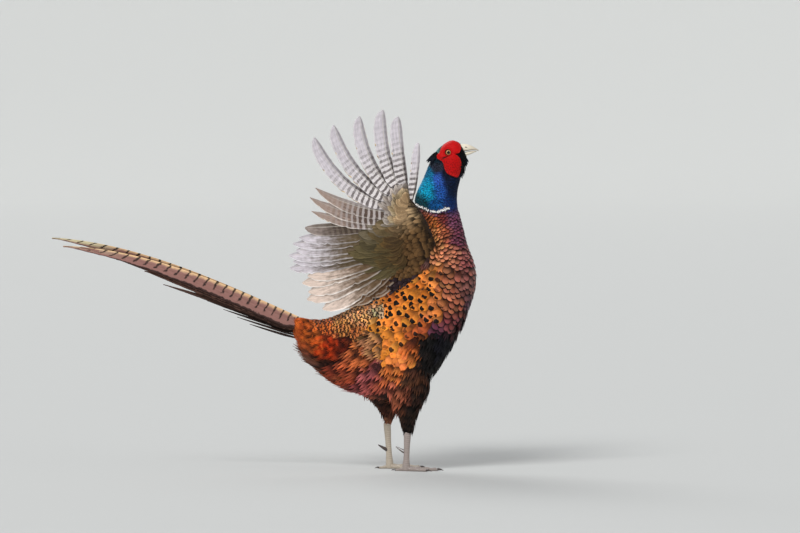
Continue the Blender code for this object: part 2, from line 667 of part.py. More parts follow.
def make_head():
    """The head with its ear tufts, the bill, the eyes and the red face, over the neck."""
    trunk_piece("neck", NECK_FROM, HEAD_FROM, "blue_neck")
    head = trunk_piece("head", HEAD_FROM, TRUNK_END, "blue_neck")
    tree = trunk_tree()
    half = side_at(tree, *EYE_AT) - EYE_SINK
    wattle, centre = face_plate(tree), (EYE_AT[0], -half, EYE_AT[1])
    clear = trunk_piece("clearance", 0, TRUNK_END, "plumage", GAP)
    hole = ball("lid_hole", centre, (EYE_RADIUS + LID_GAP,) * 3, "red_face")
    boolean(wattle, [clear, hole], "DIFFERENCE")
    mirrored(wattle, "wattle_left")
    sockets = []
    for side, name in SIDE_NAMES.items():
        centre = (EYE_AT[0], side * half, EYE_AT[1])
        ball(f"eye_{name}", centre, (EYE_RADIUS,) * 3, "eye")
        sockets.append(ball("socket", centre, (EYE_RADIUS + GAP,) * 3, "blue_neck"))
    boolean(head, sockets, "DIFFERENCE")
    locks = []
    for side in SIDE_NAMES:
        for k in range(TUFT_LOCKS):
            spread = k - (TUFT_LOCKS - 1) / 2
            x, z = TUFT_ROOT[0] + 1.2 * spread, TUFT_ROOT[1] - 2.2 * spread
            root = (x, side * (TUFT_Y - abs(spread)), z)
            way = (-1.0, side * 0.2, -0.55 - 0.12 * spread)
            flat = (0.1, side, -0.15)
            length = TUFT_LENGTH - TUFT_STEP * k
            locks.append(lock("tuft", root, way, flat, length, TUFT_WIDTH, TUFT_BEND, "blue_neck"))
    boolean(head, locks, "UNION")
    boolean(head, [trunk_piece("clearance", NECK_FROM, HEAD_FROM, "blue_neck", GAP)], "DIFFERENCE")
    for name, rows in (("bill_upper", BILL_UPPER), ("bill_lower", BILL_LOWER)):
        bill = oval_loft(name, rows, BILL_POINTS, "horn")
        cut = [trunk_piece("clearance", HEAD_FROM, TRUNK_END, "plumage", GAP)]
        if name == "bill_upper":
            for side in SIDE_NAMES:
                x, y, z = NOSTRIL_AT
                cut.append(ball("nostril", (x, side * y, z), NOSTRIL_SIZE, "horn", 8, 5))
        boolean(bill, cut, "DIFFERENCE")


def level_ring(points, x, y, z, deep, wide):
    """A level oval round a point, by its half depth and half width."""
    return [(x + deep * math.cos(a), y + wide * math.sin(a), z) for a in angles_round(points)]


def upright_ring(points, centre, way, wide, tall):
    """An upright oval across a level direction, by its half width and half height."""
    x, y, z = centre
    ring = []
    for a in angles_round(points):
        across = wide * math.cos(a)
        ring.append((x - way[1] * across, y + way[0] * across, z + tall * math.sin(a)))
    return ring


def shank(name, side, grow=0.0):
    """The bare leg from the hock to the ankle."""
    top, rings = HOCK_Z[side] - GAP / 2, []
    bottom = ANKLE_Z + GAP / 2
    for k, radius in enumerate(SHANK_RADIUS):
        share = k / (len(SHANK_RADIUS) - 1)
        x = SHANK_TOP[side] + (SHANK_FOOT[side] - SHANK_TOP[side]) * share
        z = top + (bottom - top) * share
        wide = radius + grow
        rings.append(level_ring(SHANK_POINTS, x, side * LEG_Y, z, wide * SHANK_DEPTH, wide))
    return bridge_rings(name, rings, "skin")


def claw_rings(start, way, radius, length, end_z):
    """The rings of a claw that curves down to a point at a height."""
    rings = []
    for share, thin in (*CLAW_TAPER, (1.0, CLAW_TIP / radius)):
        z = start[2] + (end_z - start[2]) * share**1.6 + 0.8 * math.sin(math.pi * share)
        x, y = start[0] + way[0] * length * share, start[1] + way[1] * length * share
        size = radius * thin
        rings.append(upright_ring(CLAW_POINTS, (x, y, z), way, size * 0.8, size))
    return rings


def make_foot(side):
    """A foot and its claws: pads under each toe, cut flat where it stands."""
    side_name = SIDE_NAMES[side]
    ankle = (SHANK_FOOT[side], side * LEG_Y)
    rows = [level_ring(SHANK_POINTS, *ankle, z, radius * 1.1, radius) for z, radius in ANKLE]
    foot, toes = bridge_rings(f"foot_{side_name}", rows, "skin"), []
    for name, (turn, length, radius) in TOES.items():
        angle = math.radians(-side * turn)
        way = (math.cos(angle), math.sin(angle))
        rings, steps = [], max(3, round(length / PAD_LENGTH) * 2)
        for k in range(steps + 1):
            share = k / steps
            pad = math.cos(2 * math.pi * length * share / PAD_LENGTH)
            size = radius * (1 - TOE_TAPER * share) * (1 - PAD_SWELL * pad)
            x, y = ankle[0] + way[0] * length * share, ankle[1] + way[1] * length * share
            rings.append(upright_ring(TOE_POINTS, (x, y, size * 0.85), way, size, size))
        toes.append(bridge_rings("toe", rings, "skin"))
        tip = radius * (1 - TOE_TAPER)
        reach = length + GAP
        start = (ankle[0] + way[0] * reach, ankle[1] + way[1] * reach, tip * 0.95)
        claw_length = CLAW_LENGTH * (HIND_CLAW if name == "hind" else 1.0)
        rings = claw_rings(start, way, tip * 0.85, claw_length, CLAW_TIP + 0.4)
        bridge_rings(f"claw_{side_name}_{name}", rings, "claw")
    boolean(foot, toes, "UNION")
    floor = bmesh.new()
    bmesh.ops.create_cube(floor, size=1.0)
    for vert in floor.verts:
        vert.co = Vector((vert.co.x * 0.4 + 0.2, vert.co.y * 0.4, vert.co.z * 0.02 - 0.01))
    boolean(foot, [make_object("floor", floor, "skin")], "DIFFERENCE")


def make_leg(side):
    """A feathered thigh, the bare shank, its spur and the foot."""
    side_name = SIDE_NAMES[side]
    rings = []
    for place in places(0, len(THIGH[side]) - 1, 2):
        rear, front, z, half = smooth_row(THIGH[side], place)
        middle, deep = (rear + front) / 2, (front - rear) / 2
        rings.append(level_ring(THIGH_POINTS, middle, side * LEG_Y, z, deep, half))
    thigh, locks = bridge_rings(f"thigh_{side_name}", rings, "plumage"), []
    for k in range(THIGH_LOCKS):
        rear, front, z, half = smooth_row(THIGH[side], THIGH_LOCK_PLACE + 0.5 * (k % 2))
        a = 2 * math.pi * (k + 0.5) / THIGH_LOCKS
        out = (math.cos(a), math.sin(a), 0.0)
        middle, deep = (rear + front) / 2, (front - rear) / 2 - THIGH_LOCK_SUNK
        root = (middle + deep * out[0], side * LEG_Y + (half - THIGH_LOCK_SUNK) * out[1], z + 4)
        way = (-0.05 - 0.25 * out[0], -0.25 * out[1], -1.0)
        locks.append(lock("lock", root, way, out, THIGH_LOCK_LENGTH, THIGH_LOCK_WIDTH, 0.0, "plumage"))
    boolean(thigh, locks, "UNION")
    boolean(thigh, [trunk_piece("clearance", 0, NECK_FROM, "plumage", GAP)], "DIFFERENCE")
    shank(f"shank_{side_name}", side)
    share = (HOCK_Z[side] - SPUR_Z) / (HOCK_Z[side] - ANKLE_Z)
    x = SHANK_TOP[side] + (SHANK_FOOT[side] - SHANK_TOP[side]) * share
    rise, inward = math.radians(SPUR_RISE), math.radians(SPUR_IN)
    way = (-math.cos(rise) * math.cos(inward), -side * math.cos(rise) * math.sin(inward), math.sin(rise))
    rings = []
    across = Vector(way).cross(Vector((0, 0, 1))).normalized()
    up = across.cross(Vector(way))
    for along, thin in SPUR_TAPER:
        centre = Vector((x, side * LEG_Y, SPUR_Z)) + Vector(way) * (SPUR_LENGTH + SPUR_SUNK) * along
        centre.z += SPUR_CURL * along**2
        size, angles = SPUR_RADIUS * thin, angles_round(CLAW_POINTS)
        rings.append([centre + (across * math.cos(a) + up * math.sin(a)) * size for a in angles])
    spur = bridge_rings(f"spur_{side_name}", rings, "claw")
    boolean(spur, [shank("clearance", side, GAP)], "DIFFERENCE")
    make_foot(side)


def main():
    """Builds every node."""
    for old in list(bpy.data.objects):
        bpy.data.objects.remove(old)
    rump = trunk_piece("rump", 0, TORSO_FROM, "plumage")
    boolean(rump, rump_locks(), "UNION")
    trunk_piece("torso", TORSO_FROM, NECK_FROM, "plumage")
    make_head()
    make_wings()
    make_tail()
    for side in SIDE_NAMES:
        make_leg(side)


main()
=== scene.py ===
"""The looks of a cock common pheasant at life size, standing upright with both wings raised.

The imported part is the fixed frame. +X is the way the bird faces, +Y its left and +Z up.
Sizes are in millimetres until a mesh is made, which turns them to metres.
"""

import logging
from dataclasses import dataclass, field
from enum import Enum
from functools import partial
from itertools import product
from math import ceil, cos, exp, floor, log, pi, radians, sin, sqrt, tan

import bmesh
import bpy
import numpy as np
from bpy.types import Material, Mesh, NodeSocket, NodeTree, Object
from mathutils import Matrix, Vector
from mathutils.bvhtree import BVHTree
from mathutils.kdtree import KDTree
from numpy import ndarray as Array
from numpy.random import Generator


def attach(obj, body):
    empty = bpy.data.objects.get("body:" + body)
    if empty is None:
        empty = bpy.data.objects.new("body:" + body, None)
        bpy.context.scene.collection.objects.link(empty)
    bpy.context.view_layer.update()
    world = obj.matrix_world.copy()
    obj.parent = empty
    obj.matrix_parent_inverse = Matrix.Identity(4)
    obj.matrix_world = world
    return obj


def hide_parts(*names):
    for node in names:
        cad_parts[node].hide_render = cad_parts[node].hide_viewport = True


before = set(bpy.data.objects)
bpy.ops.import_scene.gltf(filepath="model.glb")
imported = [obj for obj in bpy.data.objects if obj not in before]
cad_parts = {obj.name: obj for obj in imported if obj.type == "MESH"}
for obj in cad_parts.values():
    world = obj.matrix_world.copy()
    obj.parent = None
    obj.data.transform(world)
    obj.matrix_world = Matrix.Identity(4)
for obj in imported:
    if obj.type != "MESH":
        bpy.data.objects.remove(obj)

LOG = logging.getLogger("pheasant")
MM = 0.001
BODY = "root"
BAKE_MAP = "OFBake"
BAKE_PATCH = 0.003


class Side(Enum):
    """The bird's two sides, as the sign of y."""

    RIGHT = -1.0
    LEFT = 1.0

    @property
    def label(self) -> str:
        """The side's name as the nodes have it."""
        return self.name.lower()


class Kind(Enum):
    """The shapes of small feather, from the head back."""

    SILK = "silk"
    SCALE = "scale"
    HAIR = "hair"
    SHAG = "shag"


class Ends(Enum):
    """What becomes of a loft's first and last rings."""

    CAPPED = "capped"
    OPEN = "open"
    JOINED = "joined to each other"


SILK, SCALE, HAIR, SHAG = Kind
SMOOTH = {"interpolation_type": "SMOOTHSTEP"}
COLOUR = {"data_type": "RGBA", "out": 2}


def linear(colour: str) -> Array:
    """Turns an sRGB hex colour to linear.

    Args:
        colour: Six hex digits.

    Returns:
        The red, green, blue and alpha in linear light.
    """
    values = np.array([int(colour[k:k + 2], 16) / 255 for k in (0, 2, 4)])
    low, high = values / 12.92, ((values + 0.055) / 1.055) ** 2.4
    return np.append(np.where(values <= 0.04045, low, high), 1.0)


def node(tree: NodeTree, kind: str, *inputs, out: int | str | None = 0,
         **settings) -> NodeSocket | bpy.types.bpy_prop_collection:
    """Adds a node to a tree, with its settings and links.

    Args:
        tree: The tree.
        kind: The node's type, for a shader's without its prefix. A dot parts it from its operation.
        inputs: The values or linked outputs of its first sockets, or one dict of them by name or number.
        out: Which output is wanted, or None for them all.
        settings: The node's own settings.

    Returns:
        The output, or all of them.
    """
    kind, _, operation = kind.partition(".")
    made = tree.nodes.new(kind if kind.startswith(("Geometry", "NodeGroup")) else f"ShaderNode{kind}")
    if operation:
        made.operation = operation
    for name, value in settings.items():
        setattr(made, name, value)
    for key, value in (inputs[0] if inputs and isinstance(inputs[0], dict) else dict(enumerate(inputs))).items():
        if isinstance(value, NodeSocket):
            tree.links.new(value, made.inputs[key])
        else:
            made.inputs[key].default_value = value
    return made.outputs if out is None else made.outputs[out]


def finished(tree: NodeTree, colour: NodeSocket, relief: NodeSocket, strength: float,
             depth: float, **values: float | tuple) -> None:
    """Wires a surface's colour and relief to its shader, and sets what is the same all over it.

    Args:
        tree: The material's tree.
        colour: Its colour.
        relief: Its height.
        strength: How strongly the relief shows.
        depth: How deep the relief is, in metres.
        values: By the shader's socket, with _ for a space.
    """
    shader = tree.nodes["Principled BSDF"]
    tree.links.new(colour, shader.inputs["Base Color"])
    bump = node(tree, "Bump", {"Strength": strength, "Distance": depth, "Height": relief})
    tree.links.new(bump, shader.inputs["Normal"])
    for name, value in values.items():
        shader.inputs[name.replace("_", " ")].default_value = value


def linked(name: str, data: bpy.types.ID) -> Object:
    """Adds an object to the scene.

    Args:
        name: Its name.
        data: Its mesh, lamp or camera.

    Returns:
        The object, at the origin.
    """
    made = bpy.data.objects.new(name, data)
    bpy.context.scene.collection.objects.link(made)
    return made


def unit(vectors: Array) -> Array:
    """Vectors scaled to length 1."""
    return vectors / np.maximum(np.linalg.norm(vectors, axis=-1, keepdims=True), 1e-9)


def smooth_row(rows: Array, place: float) -> Array:
    """Reads a Catmull-Rom curve through the rows of a table.

    Args:
        rows: The table.
        place: Where to read, counted in rows.

    Returns:
        The row there.
    """
    rows = np.asarray(rows, float)
    low = int(min(max(floor(place), 0), len(rows) - 2))
    share = place - low
    before, after = max(low - 1, 0), min(low + 2, len(rows) - 1)
    a, b, c, d = rows[before], rows[low], rows[low + 1], rows[after]
    second, third = 2 * a - 5 * b + 4 * c - d, 3 * b - a - 3 * c + d
    return 0.5 * (2 * b + (c - a) * share + second * share**2 + third * share**3)


def profile(table: tuple, values: Array) -> Array:
    """Reads a smooth curve at many places.

    Args:
        table: Its (place, height) pairs.
        values: The places.

    Returns:
        The heights.
    """
    table = np.array(table, float)
    counted = np.interp(values, table[:, 0], np.arange(len(table)))
    return np.array([smooth_row(table[:, 1:2], c)[0] for c in np.atleast_1d(counted)])


def angles_round(count: int) -> Array:
    """Evenly spaced angles round a circle."""
    return np.arange(count) * 2 * pi / count


class MeshMaker:
    """Gathers vertices, faces and values for each vertex, and makes one object of them."""

    def __init__(self) -> None:
        """Starts with nothing."""
        self.points: list[Array] = []
        self.faces: list[tuple[int, ...]] = []
        self.values: dict[str, list[Array]] = {}
        self.count = 0

    def add(self, points: Array, faces: list[tuple[int, ...]], **values: Array) -> None:
        """Adds a patch of mesh.

        Args:
            points: Its vertices.
            faces: Its faces, counted from its own first vertex.
            values: By attribute name, a row for each vertex or one row for them all.
        """
        self.points.append(points)
        self.faces += [tuple(k + self.count for k in face) for face in faces]
        for name, rows in values.items():
            rows = np.atleast_2d(np.asarray(rows, float))
            if len(rows) != len(points):
                rows = np.repeat(rows[:1], len(points), axis=0)
            self.values.setdefault(name, []).append(rows)
        self.count += len(points)

    def loft(self, rings: Array, ends: Ends = Ends.CAPPED, **values: Array) -> None:
        """Adds closed rings of equal point counts, joined one to the next.

        Args:
            rings: An array of rings, points and coordinates.
            ends: What becomes of the first and last rings.
            values: As for add.
        """
        rings = np.asarray(rings, float)
        rows, count = rings.shape[:2]
        faces = []
        for low in range(rows if ends is Ends.JOINED else rows - 1):
            a, b = low * count, (low + 1) % rows * count
            faces += [(a + k, a + (k + 1) % count, b + (k + 1) % count, b + k) for k in range(count)]
        if ends is Ends.CAPPED:
            faces += [tuple(range(count))[::-1], tuple(range((rows - 1) * count, rows * count))]
        self.add(rings.reshape(-1, 3), faces, **values)

    def make(self, name: str, outward: bool = True, sharp: float = 180.0) -> Object:
        """Makes the object.

        Args:
            name: Its name.
            outward: Whether its faces are turned outwards.
            sharp: The angle in degrees past which an edge looks sharp.

        Returns:
            The object, at the origin, with its place in its mesh.
        """
        mesh = bpy.data.meshes.new(name)
        mesh.from_pydata((np.concatenate(self.points) * MM).tolist(), [], self.faces)
        for key, rows in self.values.items():
            store(mesh, key, np.concatenate(rows))
        if outward:
            turned = bmesh.new()
            turned.from_mesh(mesh)
            bmesh.ops.recalc_face_normals(turned, faces=turned.faces)
            turned.to_mesh(mesh)
            turned.free()
        mesh.shade_smooth()
        if sharp < 180.0:
            mesh.set_sharp_from_angle(angle=radians(sharp))
        return linked(name, mesh)


def store(mesh: Mesh, name: str, rows: Array) -> None:
    """Stores values on a mesh's vertices, as floats, vectors or colours by their width."""
    kind, key = {1: ("FLOAT", "value"), 3: ("FLOAT_VECTOR", "vector"), 4: ("FLOAT_COLOR", "color")}[rows.shape[1]]
    mesh.attributes.new(name, kind, "POINT").data.foreach_set(key, rows.astype(np.float32).ravel())


def pulled(items: bpy.types.bpy_prop_collection, key: str, width: int = 1, kind: type = np.float32) -> Array:
    """Reads one property of every item in a list.

    Args:
        items: The list.
        key: The property.
        width: How many numbers it holds.
        kind: What they are.

    Returns:
        A row for each item, or a flat array where the width is 1.
    """
    found = np.zeros(len(items) * width, kind)
    items.foreach_get(key, found)
    return found.reshape(-1, width) if width > 1 else found


def read(mesh: Mesh, name: str) -> Array:
    """Reads the vectors of that name from a mesh's vertices."""
    return pulled(mesh.attributes[name].data, "vector", 3)


def by_name(rows: list[dict[str, tuple]]) -> dict[str, Array]:
    """Turns a list of feathers into one array for each of their values."""
    return {name: np.array([row[name] for row in rows]) for name in rows[0]}


def web_faces(rows: int, count: int) -> list[tuple[int, ...]]:
    """The faces of a thin closed web, each row of which has its upper points and then its lower ones.

    Args:
        rows: How many rows it has.
        count: How many points one side of a row has.

    Returns:
        The faces.
    """
    total, faces = 2 * count, []
    for a in range(0, (rows - 1) * total, total):
        b = a + total
        for j in range(count - 1):
            faces.append((a + j, a + j + 1, b + j + 1, b + j))
            faces.append((a + count + j + 1, a + count + j, b + count + j, b + count + j + 1))
        faces.append((a + count, a, b, b + count))
        faces.append((a + count - 1, a + total - 1, b + total - 1, b + count - 1))
    for a in (0, (rows - 1) * total):
        faces += [(a + j, a + j + 1, a + count + j + 1, a + count + j) for j in range(count - 1)]
    return faces


def bake_map(piece: Object, places: Array) -> None:
    """Gives a piece its map for baking, from a place for each vertex."""
    corners = pulled(piece.data.loops, "vertex_index", kind=np.int32)
    piece.data.uv_layers.new(name=BAKE_MAP).data.foreach_set("uv", places[corners].astype(np.float32).ravel())


def vane_piece(maker: MeshMaker, name: str) -> Object:
    """Makes one piece of gathered vanes, with its map for baking.

    Args:
        maker: What gathered them.
        name: The piece's name.

    Returns:
        The piece.
    """
    piece = maker.make(name, sharp=50.0)
    bake_map(piece, read(piece.data, "patch")[:, :2])
    return piece


def flatten(piece: Object) -> None:
    """Turns what an object's modifiers make of it into its plain mesh.

    Args:
        piece: The object.
    """
    graph = bpy.context.evaluated_depsgraph_get()
    graph.update()
    found = piece.evaluated_get(graph)
    fresh = bpy.data.meshes.new_from_object(found, preserve_all_data_layers=True, depsgraph=graph)
    piece.modifiers.clear()
    piece.data = fresh


def dress(piece: Object, finish: Material, slot: str, *nodes: str) -> Object:
    """Gives a piece its material, and lets it ride on the body in place of CAD nodes.

    Args:
        piece: The piece.
        finish: Its material.
        slot: A slot of the record; not used.
        nodes: The CAD nodes that it replaces.

    Returns:
        The piece.
    """
    piece.data.materials.clear()
    piece.data.materials.append(finish)
    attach(piece, BODY)
    if nodes:
        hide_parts(*nodes)
    LOG.info("%s: %d faces", piece.name, len(piece.data.polygons))
    return piece


@dataclass(frozen=True)
class Finish:
    """A surface, made as a material of nodes."""

    name: str

    def build(self) -> Material:
        """Makes the material.

        Returns:
            The material.
        """
        made = bpy.data.materials.new(self.name)
        made.use_nodes = True
        self.wire(made.node_tree, partial(node, made.node_tree))
        return made

    def wire(self, tree: NodeTree, add: partial) -> None:
        """Draws the finish in the material's tree, by its way to add a node."""
        raise NotImplementedError


@dataclass(frozen=True)
class PlumeFinish(Finish):
    """Keratin feathers of the body: soft matt barbs, with painted shade over the base and marks near the tip."""

    roughness: float = 0.55
    metallic: float = 0.0
    relief: float = 0.35
    specular: float = 0.12
    mark_at: float = 0.83  # along the feather
    mark_long: float = 0.15
    mark_wide: float = 0.58
    mottle: float = 420.0  # flecks of 2.4 mm
    broad: float = 90.0  # patches of 11 mm
    # Real barbs stand 0.3 mm apart. These are drawn about seven times as coarse, so that they show.
    barbs: float = 70.0

    def wire(self, tree: NodeTree, add: partial) -> None:
        """Draws each feather's own colours and marks, and painted shade at its base and sides.

        Args:
            tree: The material's tree.
            add: Adds a node to it.
        """
        x, y, _ = add("SeparateXYZ", add("Attribute", attribute_name="local", out="Vector"), out=None)
        traits = add("SeparateXYZ", add("Attribute", attribute_name="traits", out="Vector"), out=None)
        spotted, edged, waved = (add("MapRange", trait, 0.15, 0.6, **SMOOTH) for trait in traits)
        wide = add("Math.ABSOLUTE", x)
        place = add("TexCoord", out="Object")
        mottle = add("Math.SUBTRACT", add("TexNoise", {"Vector": place, "Scale": self.mottle, "Detail": 3.0}), 0.5)
        broad = add("Math.SUBTRACT", add("TexNoise", {"Vector": place, "Scale": self.broad, "Detail": 1.0}), 0.5)
        # A black mark near the tip, a blunt arrowhead that the noise roughens.
        bent = add("Math.MULTIPLY_ADD", wide, 0.1, y)
        off = add("Math.MULTIPLY", add("Math.ABSOLUTE", add("Math.SUBTRACT", bent, self.mark_at)), 1 / self.mark_long)
        aside = add("Math.POWER", add("Math.DIVIDE", wide, self.mark_wide), 3.0)
        spot = add("Math.ADD", add("Math.POWER", off, 2.0), aside)
        spot = add("Math.MULTIPLY_ADD", mottle, 1.4, spot)
        spot = add("Math.MULTIPLY_ADD", broad, 2.6, spot)
        spot = add("Math.MULTIPLY_ADD", traits[0], -1.2, spot)
        spot = add("Math.MULTIPLY", add("MapRange", spot, 0.05, -0.25, **SMOOTH), spotted)
        # A dark scalloped edge round the tip.
        along = add("Math.MAXIMUM", add("Math.MULTIPLY_ADD", y, 1 / 0.65, -0.35 / 0.65), 0.0)
        radial = add("Math.MULTIPLY_ADD", add("Math.POWER", wide, 2.0), 0.5, add("Math.POWER", along, 2.0))
        radial = add("Math.MULTIPLY_ADD", traits[1], 0.12, add("Math.MULTIPLY_ADD", mottle, 0.2, radial))
        fringe = add("Math.MULTIPLY", add("MapRange", radial, 0.68, 0.78, **SMOOTH), edged)
        # Fine wavy bars across.
        wave = add("Math.MULTIPLY_ADD", y, 15.0, add("Math.MULTIPLY", add("Math.POWER", x, 2.0), -5.0))
        wave = add("Math.SINE", add("Math.MULTIPLY_ADD", mottle, 7.0, wave))
        bars = add("Math.MULTIPLY", add("MapRange", wave, -0.1, 0.4, **SMOOTH), waved)
        marked = add("Math.MAXIMUM", add("Math.MAXIMUM", spot, fringe), bars)
        # Barbs leave the shaft aslant and show as faint streaks. The base and the sides are darkened with painted
        # shade, where the next feathers overlap them.
        barb = add("Math.SINE", add("Math.MULTIPLY_ADD", y, self.barbs, add("Math.MULTIPLY", wide, -34.0)))
        low = add("Math.MULTIPLY_ADD", spotted, 0.22, 0.15)
        lit = add("Math.MULTIPLY", add("MapRange", y, 0.3, 0.76, **SMOOTH),
                  add("Math.MULTIPLY_ADD", add("MapRange", wide, 0.45, 1.0, **SMOOTH), -0.45, 1.0))
        shade = add("Math.ADD", low, add("Math.MULTIPLY", lit, add("Math.SUBTRACT", 1.08, low)))
        shade = add("Math.MULTIPLY_ADD", mottle, 0.5, add("Math.MULTIPLY_ADD", barb, 0.06, shade))
        colours = [add("Attribute", attribute_name=name, out="Color") for name in ("ground", "mark")]
        mixed = add("Mix", {"Factor": marked, 6: colours[0], 7: colours[1]}, **COLOUR)
        toned = add("HueSaturation", {"Value": shade, "Color": mixed})
        finished(tree, toned, barb, self.relief, 0.0006, Roughness=self.roughness, Metallic=self.metallic,
                 Specular_IOR_Level=self.specular)


@dataclass(frozen=True)
class PlainFinish(Finish):
    """A surface of two close colours, mottled at a real size and with a fine relief."""

    colour: str
    second: str
    grain: float  # the size of the mottling in millimetres
    roughness: float = 0.5
    coat: float = 0.0
    relief: float = 0.2

    def wire(self, tree: NodeTree, add: partial) -> None:
        """Draws its colours and relief.

        Args:
            tree: The material's tree.
            add: Adds a node to it.
        """
        place = add("TexCoord", out="Object")
        mottle = add("TexNoise", {"Vector": place, "Scale": 1 / (self.grain * MM), "Detail": 4.0})
        share = add("MapRange", mottle, 0.35, 0.65)
        mixed = add("Mix", {"Factor": share, 6: linear(self.colour), 7: linear(self.second)}, **COLOUR)
        finished(tree, mixed, mottle, self.relief, self.grain * MM * 0.3, Roughness=self.roughness,
                 Coat_Weight=self.coat)


@dataclass
class Trunk:
    """The head, neck and trunk: sections from the tail root to the base of the bill.

    Each is (dorsal x, dorsal z, ventral x, ventral z, half width, depth of the feathers over
    the skin), and the outline is that of the plumage.
    """

    sections: dict[str, tuple] = field(default_factory=lambda: {
        "tail_root": (47, 228, 47, 198, 14, 2.0),
        "vent": (91, 228, 70, 157, 33, 3.2),
        "rump": (139, 250, 134, 115, 51, 3.6),
        "loins": (190, 282, 216, 109, 60, 3.6),
        "back": (235, 312, 277, 180, 59, 3.4),
        "shoulders": (250, 340, 316, 277, 45, 2.6),
        "neck_base": (238, 373, 302, 340, 32, 2.0),
        "collar": (223, 403, 288, 402, 27.5, 1.5),
        "throat": (238, 441, 294, 442, 22.5, 1.1),
        "nape": (247, 463, 298, 455, 20, 1.0),
        "ear": (258, 481, 300.5, 463.5, 19, 0.9),
        "brow": (276, 493.5, 302, 466.5, 16.5, 0.8),
        "forehead": (286.5, 493, 301.5, 469, 12, 0.8),
        "bill_base": (293, 488.3, 300.5, 472, 8, 0.8),
    })
    fullness: float = 0.87
    grid_steps: int = 12  # from one section to the next
    grid_turns: int = 96
    tree: KDTree = field(init=False)

    def __post_init__(self) -> None:
        """Draws a fine grid over the outline, for finding where a point is on it."""
        self.rows = np.array(list(self.sections.values()), float)
        self.last = len(self.rows) - 1
        self.steps = np.linspace(0, self.last, self.last * self.grid_steps + 1)
        self.grid = np.array([self.ring(s, self.grid_turns) for s in self.steps])
        flat = self.grid.reshape(-1, 3)
        self.tree = KDTree(len(flat))
        for k, point in enumerate(flat):
            self.tree.insert(point, k)
        self.tree.balance()
        along = np.gradient(self.grid, axis=0)
        self.flow = -unit(along).reshape(-1, 3)

    def ring(self, place: float, points: int, sunk: bool = False) -> Array:
        """The section at a place, counted in sections.

        Args:
            place: Where along the trunk.
            points: How many points go round it.
            sunk: Whether it is the skin's, under the feathers.

        Returns:
            The ring's points, from the back round by the left side.
        """
        row = smooth_row(self.rows, place)
        depth = row[5] if sunk else 0.0
        dorsal, ventral = np.array([row[0], 0, row[1]]), np.array([row[2], 0, row[3]])
        centre, half = (dorsal + ventral) / 2, (dorsal - ventral) / 2
        half = half * (1 - depth / np.linalg.norm(half))
        wide = np.array([0, row[4] - depth, 0])
        turns = angles_round(points)[:, None]
        across, round_ = np.cos(turns), np.sin(turns)
        across = np.sign(across) * np.abs(across) ** self.fullness
        round_ = np.sign(round_) * np.abs(round_) ** self.fullness
        return centre + half * across + wide * round_

    def find(self, points: Array) -> tuple[Array, Array, Array, Array]:
        """Where points are on the trunk.

        Args:
            points: The points.

        Returns:
            The place along it, the turn from the back in degrees, the way in which feathers
            lie there, and how far off its outline each point is.
        """
        found = [self.tree.find(p) for p in points]
        index = np.array([k for _, k, _ in found])
        off = np.array([d for _, _, d in found])
        place = self.steps[index // self.grid_turns]
        turn = (index % self.grid_turns) * 360.0 / self.grid_turns
        return place, np.minimum(turn, 360 - turn), self.flow[index], off


@dataclass
class Thigh:
    """A feathered leg above the hock, as (rear x, front x, z, half width) sections."""

    side: Side
    leg_y: float = 31.0
    depth: float = 3.2
    rows: dict[Side, tuple] = field(default_factory=lambda: {
        Side.RIGHT: ((212, 240, 176, 12), (190, 247, 155, 22), (176, 248, 128, 26), (186, 241, 108, 21),
                     (196, 231, 88, 13), (201, 227, 73, 9.5), (204, 224, 62, 6.5), (207, 219, 54.3, 5.0)),
        Side.LEFT: ((180, 215, 176, 12), (156, 220, 155, 22), (140, 218, 128, 26), (150, 212, 110, 21),
                    (166, 204, 94, 14), (174, 197, 82, 9.5), (176.5, 191, 72, 6.5), (177.0, 188.5, 64.3, 5.0)),
    })

    def rings(self, points: int) -> Array:
        """The rings of the skin, from the top down.

        Args:
            points: How many points go round one.

        Returns:
            An array of rings, points and coordinates.
        """
        found, a = [], angles_round(points)
        for place in np.linspace(0, len(self.rows[self.side]) - 1, 29):
            rear, front, z, half = smooth_row(self.rows[self.side], place)
            depth = min(self.depth, half * 0.35)
            x = (rear + front) / 2 + ((front - rear) / 2 - depth) * np.cos(a)
            y = self.side.value * self.leg_y + (half - depth) * np.sin(a)
            found.append(np.stack([x, y, np.full(points, z)], 1))
        return np.array(found)


@dataclass(frozen=True)
class Region:
    """How the plumage looks about one place on the bird, seen from the side."""

    name: str
    x: float
    z: float
    reach: float
    kind: Kind
    ground: str
    mark: str
    spacing: float
    length: float = 2.3  # by the spacing
    droop: float = 0.0  # how far the lie turns towards straight down
    free: float = 0.0  # how far the tip leaves the skin
    spot: float = 0.0
    fringe: float = 0.0
    waves: float = 0.0
    width: float = 0.78


